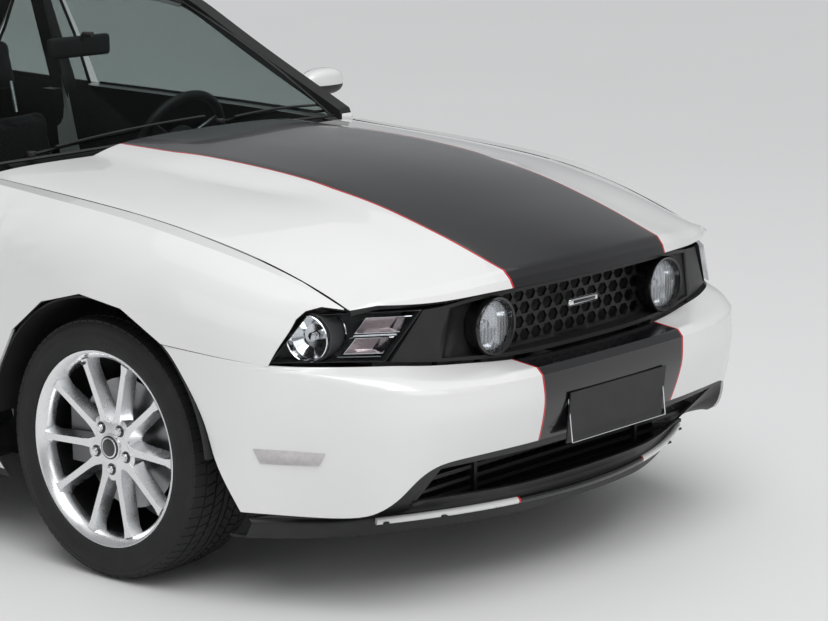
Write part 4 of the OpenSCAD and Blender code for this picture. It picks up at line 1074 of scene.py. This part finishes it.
def rocker(side):
    """Satin black rocker cover under the doors."""
    hand = SIDES[side]
    bm = bmesh.new()
    y0, y1 = 1.535, 3.235
    made = block(bm, (0.060, y1 - y0, 0.118), soft=0.012, segments=3)
    for v in made:
        v.co.x = hand * (0.858 + v.co.x - 0.030 * max(0, -(v.co.z) / 0.06))
        v.co += at(0, (y0 + y1) / 2, 0.248)
    bmesh.ops.recalc_face_normals(bm, faces=bm.faces)
    piece_from(bm, f"rocker_cover_{side}", [SATIN], "body", 40)


def seal_line(name, points, radius, material, body, flat=1.0):
    bm = bmesh.new()
    tube(bm, points, radius, 8, 0, flat)
    return piece_from(bm, name, [material], body, 50)


def boundary_paths(node, angle=55):
    """Outer rim of a pane: its vertices in order round the pane's outward face."""
    bm = node_copy(node)
    bm.normal_update()
    faces = [f for f in bm.faces if f.normal.z > 0.15 or
             f.normal.x * f.calc_center_median().x > 0.35 * abs(f.calc_center_median().x)]
    rim = {}
    chosen = set(faces)
    for f in faces:
        for e in f.edges:
            if sum(1 for g in e.link_faces if g in chosen) == 1:
                a, b = e.verts
                rim.setdefault(a, []).append(b)
                rim.setdefault(b, []).append(a)
    loops = []
    while rim:
        start = next(iter(rim))
        loop, here, last = [start.co.copy()], start, None
        while True:
            ahead = [v for v in rim.get(here, []) if v is not last]
            if not ahead:
                break
            step = ahead[0]
            rim[here] = [v for v in rim[here] if v is not step]
            rim.get(step, [])[:] = [v for v in rim.get(step, []) if v is not here]
            last, here = here, step
            if here is start:
                break
            loop.append(here.co.copy())
        for key in [k for k, v in rim.items() if not v]:
            del rim[key]
        if len(loop) > 4:
            loops.append(loop)
    bm.free()
    return loops


def glass_seals():
    """Black rubber round every fixed pane."""
    for node, radius in (("windshield", 0.007), ("rear_window", 0.008), ("quarter_windows", 0.006)):
        for k, loop in enumerate(boundary_paths(node)):
            points = loop + loop[:1]
            seal_line(f"{node}_seal_{k}", points, radius, SATIN, "body", 0.7)


def belt_seals():
    """Rubber along the foot of each door glass and up its front edge."""
    for side in SIDES:
        for k, loop in enumerate(boundary_paths(f"door_glass_{side}")):
            low = sorted((p for p in loop if p.z < 1.06), key=lambda p: p.y)
            low = [p for p in low if p.z < 0.99 + 0.05 * (p.y - low[0].y)] or low
            if len(low) > 3:
                seal_line(f"belt_seal_{side}_{k}", [p + Vector((SIDES[side] * 0.004, 0, 0.004)) for p in low],
                          0.0055, SATIN, f"{side}_door", 0.8)


def exhaust_tips():
    low, high = (Vector(c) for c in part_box("exhaust"))
    for side, hand in SIDES.items():
        bm = bmesh.new()
        lathe(bm, [(0.0, 0.0395), (-0.004, 0.0425), (-0.012, 0.0432), (-0.110, 0.0432), (-0.110, 0.0385),
                   (-0.010, 0.0372)], 64)
        turn = Matrix.Rotation(math.pi / 2, 4, "Z")
        bmesh.ops.transform(bm, matrix=Matrix.Translation((hand * 0.560, high.y + 0.006, 0.235)) @ turn,
                            verts=bm.verts)
        piece_from(bm, f"exhaust_tip_{side}", [CHROME], "body", 40)


def rear_valance():
    """Dark lower panel under the rear bumper with four fins."""
    low, high = (Vector(c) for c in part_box("rear_bumper"))
    bm = bmesh.new()
    made = block(bm, (0.78, 0.030, 0.120), soft=0.010, segments=3)
    for v in made:
        v.co += Vector((0, high.y - 0.060 - (v.co.x ** 2) * 0.22, low.z + 0.055))
    for x in (-0.24, -0.08, 0.08, 0.24):
        block(bm, (0.010, 0.050, 0.085), (x, high.y - 0.055, low.z + 0.045), None, 0.003)
    piece_from(bm, "rear_valance", [COARSE], "body", 40)


def rear_plate():
    """Blank plate in the middle of the rear bumper with a lamp bar over it."""
    low, high = (Vector(c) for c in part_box("rear_bumper"))
    bm = bmesh.new()
    block(bm, (0.34, 0.006, 0.150), (0, high.y - 0.0005, 0.555), None, 0.0025, 2, 0)
    block(bm, (0.30, 0.014, 0.014), (0, high.y - 0.002, 0.645), None, 0.004, 2, 1)
    piece_from(bm, "rear_plate_blank", [PLATE, SATIN], "body", 40)


def lid_spoiler():
    """Low lip on the trunk lid's rear edge."""
    low, high = (Vector(c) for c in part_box("trunk_lid"))
    points = []
    for k in range(21):
        x = -0.66 + 1.32 * k / 20
        above = at(x, 4.628 - 0.05 * abs(x) ** 2.2, 1.4)
        place, _ = skin_point("trunk_lid", above, Vector((0, 0, -1)))
        if place:
            points.append(place + Vector((0, 0, 0.004)))
    if len(points) > 4:
        bm = bmesh.new()
        tube(bm, points, 0.016, 12, 0, 0.45)
        piece_from(bm, "lid_lip", [PAINT], "trunk", 50)


# ---- Cabin ----
def steering_wheel_detail():
    """Leather rim with three metal-faced spokes and a padded hub."""
    low, high = (Vector(c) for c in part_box("steering_wheel"))
    bm = bmesh.new()
    lathe(bm, [(0.014 * math.cos(a), 0.1725 + 0.0148 * math.sin(a)) for a in
               [2 * math.pi * k / 14 for k in range(14)]], 72)
    across = Matrix.Rotation(math.pi / 2, 3, "Y")
    disc(bm, 0.068, 0.034, (0.004, 0, 0), across, 48, 0.010, 1)
    disc(bm, 0.026, 0.004, (-0.0145, 0, 0), across, 40, 0.001, 2)
    for angle in (90, 210, 330):
        turn = Matrix.Rotation(math.radians(angle + 90), 3, "X")
        block(bm, (0.010, 0.030, 0.105), turn @ Vector((0.002, 0, 0.115)), turn, 0.004, 2, 2)
    tube(bm, [(0.012, 0, 0), (0.090, 0, 0), (0.160, 0, 0)], 0.024, 20, 1)
    tilt = Matrix.Rotation(math.radians(22), 4, "X") @ Matrix.Rotation(-math.pi / 2, 4, "Z")
    bmesh.ops.transform(bm, matrix=Matrix.Translation(at(0.36, 1.930, 0.893)) @ tilt, verts=bm.verts)
    piece_from(bm, "steering_wheel_rim", [GRIP, CABIN, SATIN_METAL], "steering_column", 40,
               ("steering_wheel",))


def interior_mirror():
    bm = bmesh.new()
    made = block(bm, (0.235, 0.028, 0.062), soft=0.012, segments=3)
    for v in made:
        v.co = v.co + at(-0.010, 1.955, 1.225)
    glass = block(bm, (0.218, 0.003, 0.048), at(-0.010, 1.970, 1.225), None, 0.001, 1, 1)
    tube(bm, [at(-0.010, 1.950, 1.240), at(-0.006, 1.935, 1.262), at(0, 1.905, 1.262)], 0.008, 10, 0)
    piece_from(bm, "cabin_mirror", [CABIN, MIRROR], "body", 40)
    return glass


def cushion(name, size, place, turn, body, material, replaces=(), swell=0.022):
    """A stuffed pad: swollen by cloth under pressure, capped, then smoothed."""
    bm = bmesh.new()
    verts = block(bm, [s - 2 * swell * 0.75 for s in size], soft=min(size) * 0.28, segments=4)
    bmesh.ops.transform(bm, matrix=Matrix.Translation(place) @ turn.to_4x4(), verts=verts)
    obj = piece_from(bm, name, [material], body, None, replaces)
    remesh = obj.modifiers.new("remesh", "REMESH")
    remesh.mode = "VOXEL"
    remesh.voxel_size = 0.009
    apply_modifiers(obj)
    rest = [v.co.copy() for v in obj.data.vertices]
    inflate(obj, rest, swell)
    obj.data.shade_smooth()
    rounded(obj, 1)
    return obj


def apply_modifiers(obj):
    deps = bpy.context.evaluated_depsgraph_get()
    mesh = bpy.data.meshes.new_from_object(obj.evaluated_get(deps))
    old = obj.data
    obj.modifiers.clear()
    obj.data = mesh
    bpy.data.meshes.remove(old)


def inflate(obj, rest, cap):
    cloth = obj.modifiers.new("fill", "CLOTH")
    cloth.settings.use_pressure = True
    cloth.settings.uniform_pressure_force = 4
    cloth.settings.effector_weights.gravity = 0
    cloth.settings.quality = 4
    scene = bpy.context.scene
    scene.frame_start, scene.frame_end = 1, 20
    for k in range(1, 21):
        scene.frame_set(k)
    apply_modifiers(obj)
    for v, home in zip(obj.data.vertices, rest):
        moved = v.co - home
        if moved.length > cap:
            v.co = home + moved.normalized() * cap
    scene.frame_set(1)


def seats():
    """Front seats in three pads each, and the rear bench in two pads."""
    for side in SIDES:
        hand = SIDES[side]
        x = hand * 0.36
        lean = Matrix.Rotation(math.radians(-18), 3, "X")
        head = Matrix.Rotation(math.radians(-14), 3, "X")
        cushion(f"front_cushion_{side}", (0.49, 0.53, 0.125), at(x, 2.330, 0.425), Matrix.Identity(3),
                "body", SEAT, (f"front_seat_{side}",))
        cushion(f"front_backrest_{side}", (0.45, 0.125, 0.585), at(x, 2.560, 0.40) +
                lean @ Vector((0, 0.065, 0.300)), lean, "body", SEAT)
        cushion(f"headrest_{side}", (0.255, 0.098, 0.176), at(x, 2.782, 1.0) +
                head @ Vector((0, 0.05, 0.09)), head, "body", SEAT, swell=0.012)
        bm = bmesh.new()
        for post in (-0.06, 0.06):
            stem = [at(x + post, 2.748 + 0.012 * k, 0.93 + 0.05 * k) for k in range(3)]
            tube(bm, stem, 0.0065, 12)
        block(bm, (0.38, 0.42, 0.16), at(x, 2.300, 0.285), None, 0.02, 2, 1)
        piece_from(bm, f"seat_frame_{side}", [CHROME, CABIN], "body", 40)
    bench = Matrix.Rotation(math.radians(-24), 3, "X")
    cushion("rear_cushion", (1.01, 0.45, 0.145), at(0, 3.130, 0.378), Matrix.Identity(3), "body", SEAT,
            ("rear_seat",))
    cushion("rear_backrest", (1.01, 0.115, 0.545), at(0, 3.246, 0.400) + bench @ Vector((0, 0.06, 0.28)),
            bench, "body", SEAT)


# ---- Assembly of the detailed pieces ----
WHEEL_X = 0.773
wheels()
for side in SIDES:
    headlight(side)
    round_lamp(side)
    marker_lamp(side)
    mirror_shell(side)
    tail_lamp(side)
    door_handle(side)
    rocker(side)
badge()
lip_strip()
intake_shroud()
plate_frame()
fuel_cap()
exhaust_tips()
rear_valance()
rear_plate()
lid_spoiler()
wiper("wiper_right", at(-0.560, 1.545, 1.000), at(0.060, 1.520, 1.035), 0.006)
wiper("wiper_left", at(0.130, 1.515, 1.022), at(0.600, 1.590, 1.010), 0.006)
glass_seals()
belt_seals()
steering_wheel_detail()
interior_mirror()
seats()

# ---- Studio ----
FLOOR = Finish("studio_floor")
FLOOR.set(Base_Color=FLOOR.ramp(FLOOR.noise(0.3, 2), (0.2, grey(0.79)), (0.8, grey(0.81))))
FLOOR.set(Roughness=FLOOR.spread(FLOOR.noise(3, 4), 0.5, 0.62))


def studio_floor():
    """A wide pale floor."""
    bm = bmesh.new()
    bmesh.ops.create_grid(bm, x_segments=4, y_segments=4, size=400)
    mesh = bpy.data.meshes.new("studio_floor")
    bm.to_mesh(mesh)
    bm.free()
    mesh.materials.append(FLOOR.material)
    floor = bpy.data.objects.new("studio_floor", mesh)
    bpy.context.scene.collection.objects.link(floor)


def lamp(name, place, aim, size, power):
    light = bpy.data.lights.new(name, "AREA")
    light.shape = "RECTANGLE"
    light.size, light.size_y = size
    light.energy = power
    obj = bpy.data.objects.new(name, light)
    obj.location = place
    obj.rotation_euler = (Vector(aim) - Vector(place)).to_track_quat("-Z", "Y").to_euler()
    bpy.context.scene.collection.objects.link(obj)


def broad_lamp(name, aim, spread, power):
    """A far, wide source that lights the car and the floor evenly."""
    light = bpy.data.lights.new(name, "SUN")
    light.energy = power
    light.angle = math.radians(spread)
    obj = bpy.data.objects.new(name, light)
    obj.rotation_euler = aim.to_track_quat("-Z", "Y").to_euler()
    bpy.context.scene.collection.objects.link(obj)


YAW = math.radians(49.03)
PITCH = math.radians(11.27)
ROLL = math.radians(-0.48)
EYE = at(-5.2419, -3.8855, 1.9746)
LENS_LENGTH = 114.96
SENSOR_WIDTH = 36


def camera():
    data = bpy.data.cameras.new("camera")
    data.sensor_width = SENSOR_WIDTH
    data.lens = LENS_LENGTH
    data.clip_end = 200
    look = Vector((math.sin(YAW) * math.cos(PITCH), math.cos(YAW) * math.cos(PITCH), -math.sin(PITCH)))
    right = Vector((math.cos(YAW), -math.sin(YAW), 0))
    up = right.cross(look)
    tilted_right = math.cos(ROLL) * right + math.sin(ROLL) * up
    tilted_up = math.cos(ROLL) * up - math.sin(ROLL) * right
    turn = Matrix((tilted_right, tilted_up, -look)).transposed()
    obj = bpy.data.objects.new("camera", data)
    obj.matrix_world = Matrix.Translation(EYE) @ turn.to_4x4()
    bpy.context.scene.collection.objects.link(obj)
    bpy.context.scene.camera = obj


camera()
studio_floor()
world = bpy.data.worlds.new("studio")
world.use_nodes = True
backdrop = world.node_tree.nodes["Background"]
backdrop.inputs["Color"].default_value = (0.95, 0.96, 0.98, 1)
backdrop.inputs["Strength"].default_value = 0.36
bpy.context.scene.world = world
bpy.context.scene.view_settings.view_transform = "Standard"
broad_lamp("sky_panel", Vector((0.35, 0.42, -1)), 50, 1.6)
lamp("overhead", (0, -1.5, 5.2), (0, -1.2, 0), (7, 6), 60)
lamp("side", (-7.5, -1.0, 3.4), (0, -1.0, 0.6), (5, 3), 20)
lamp("front", (-1.5, -8.5, 3.6), (0, -2.0, 0.6), (5, 3), 60)
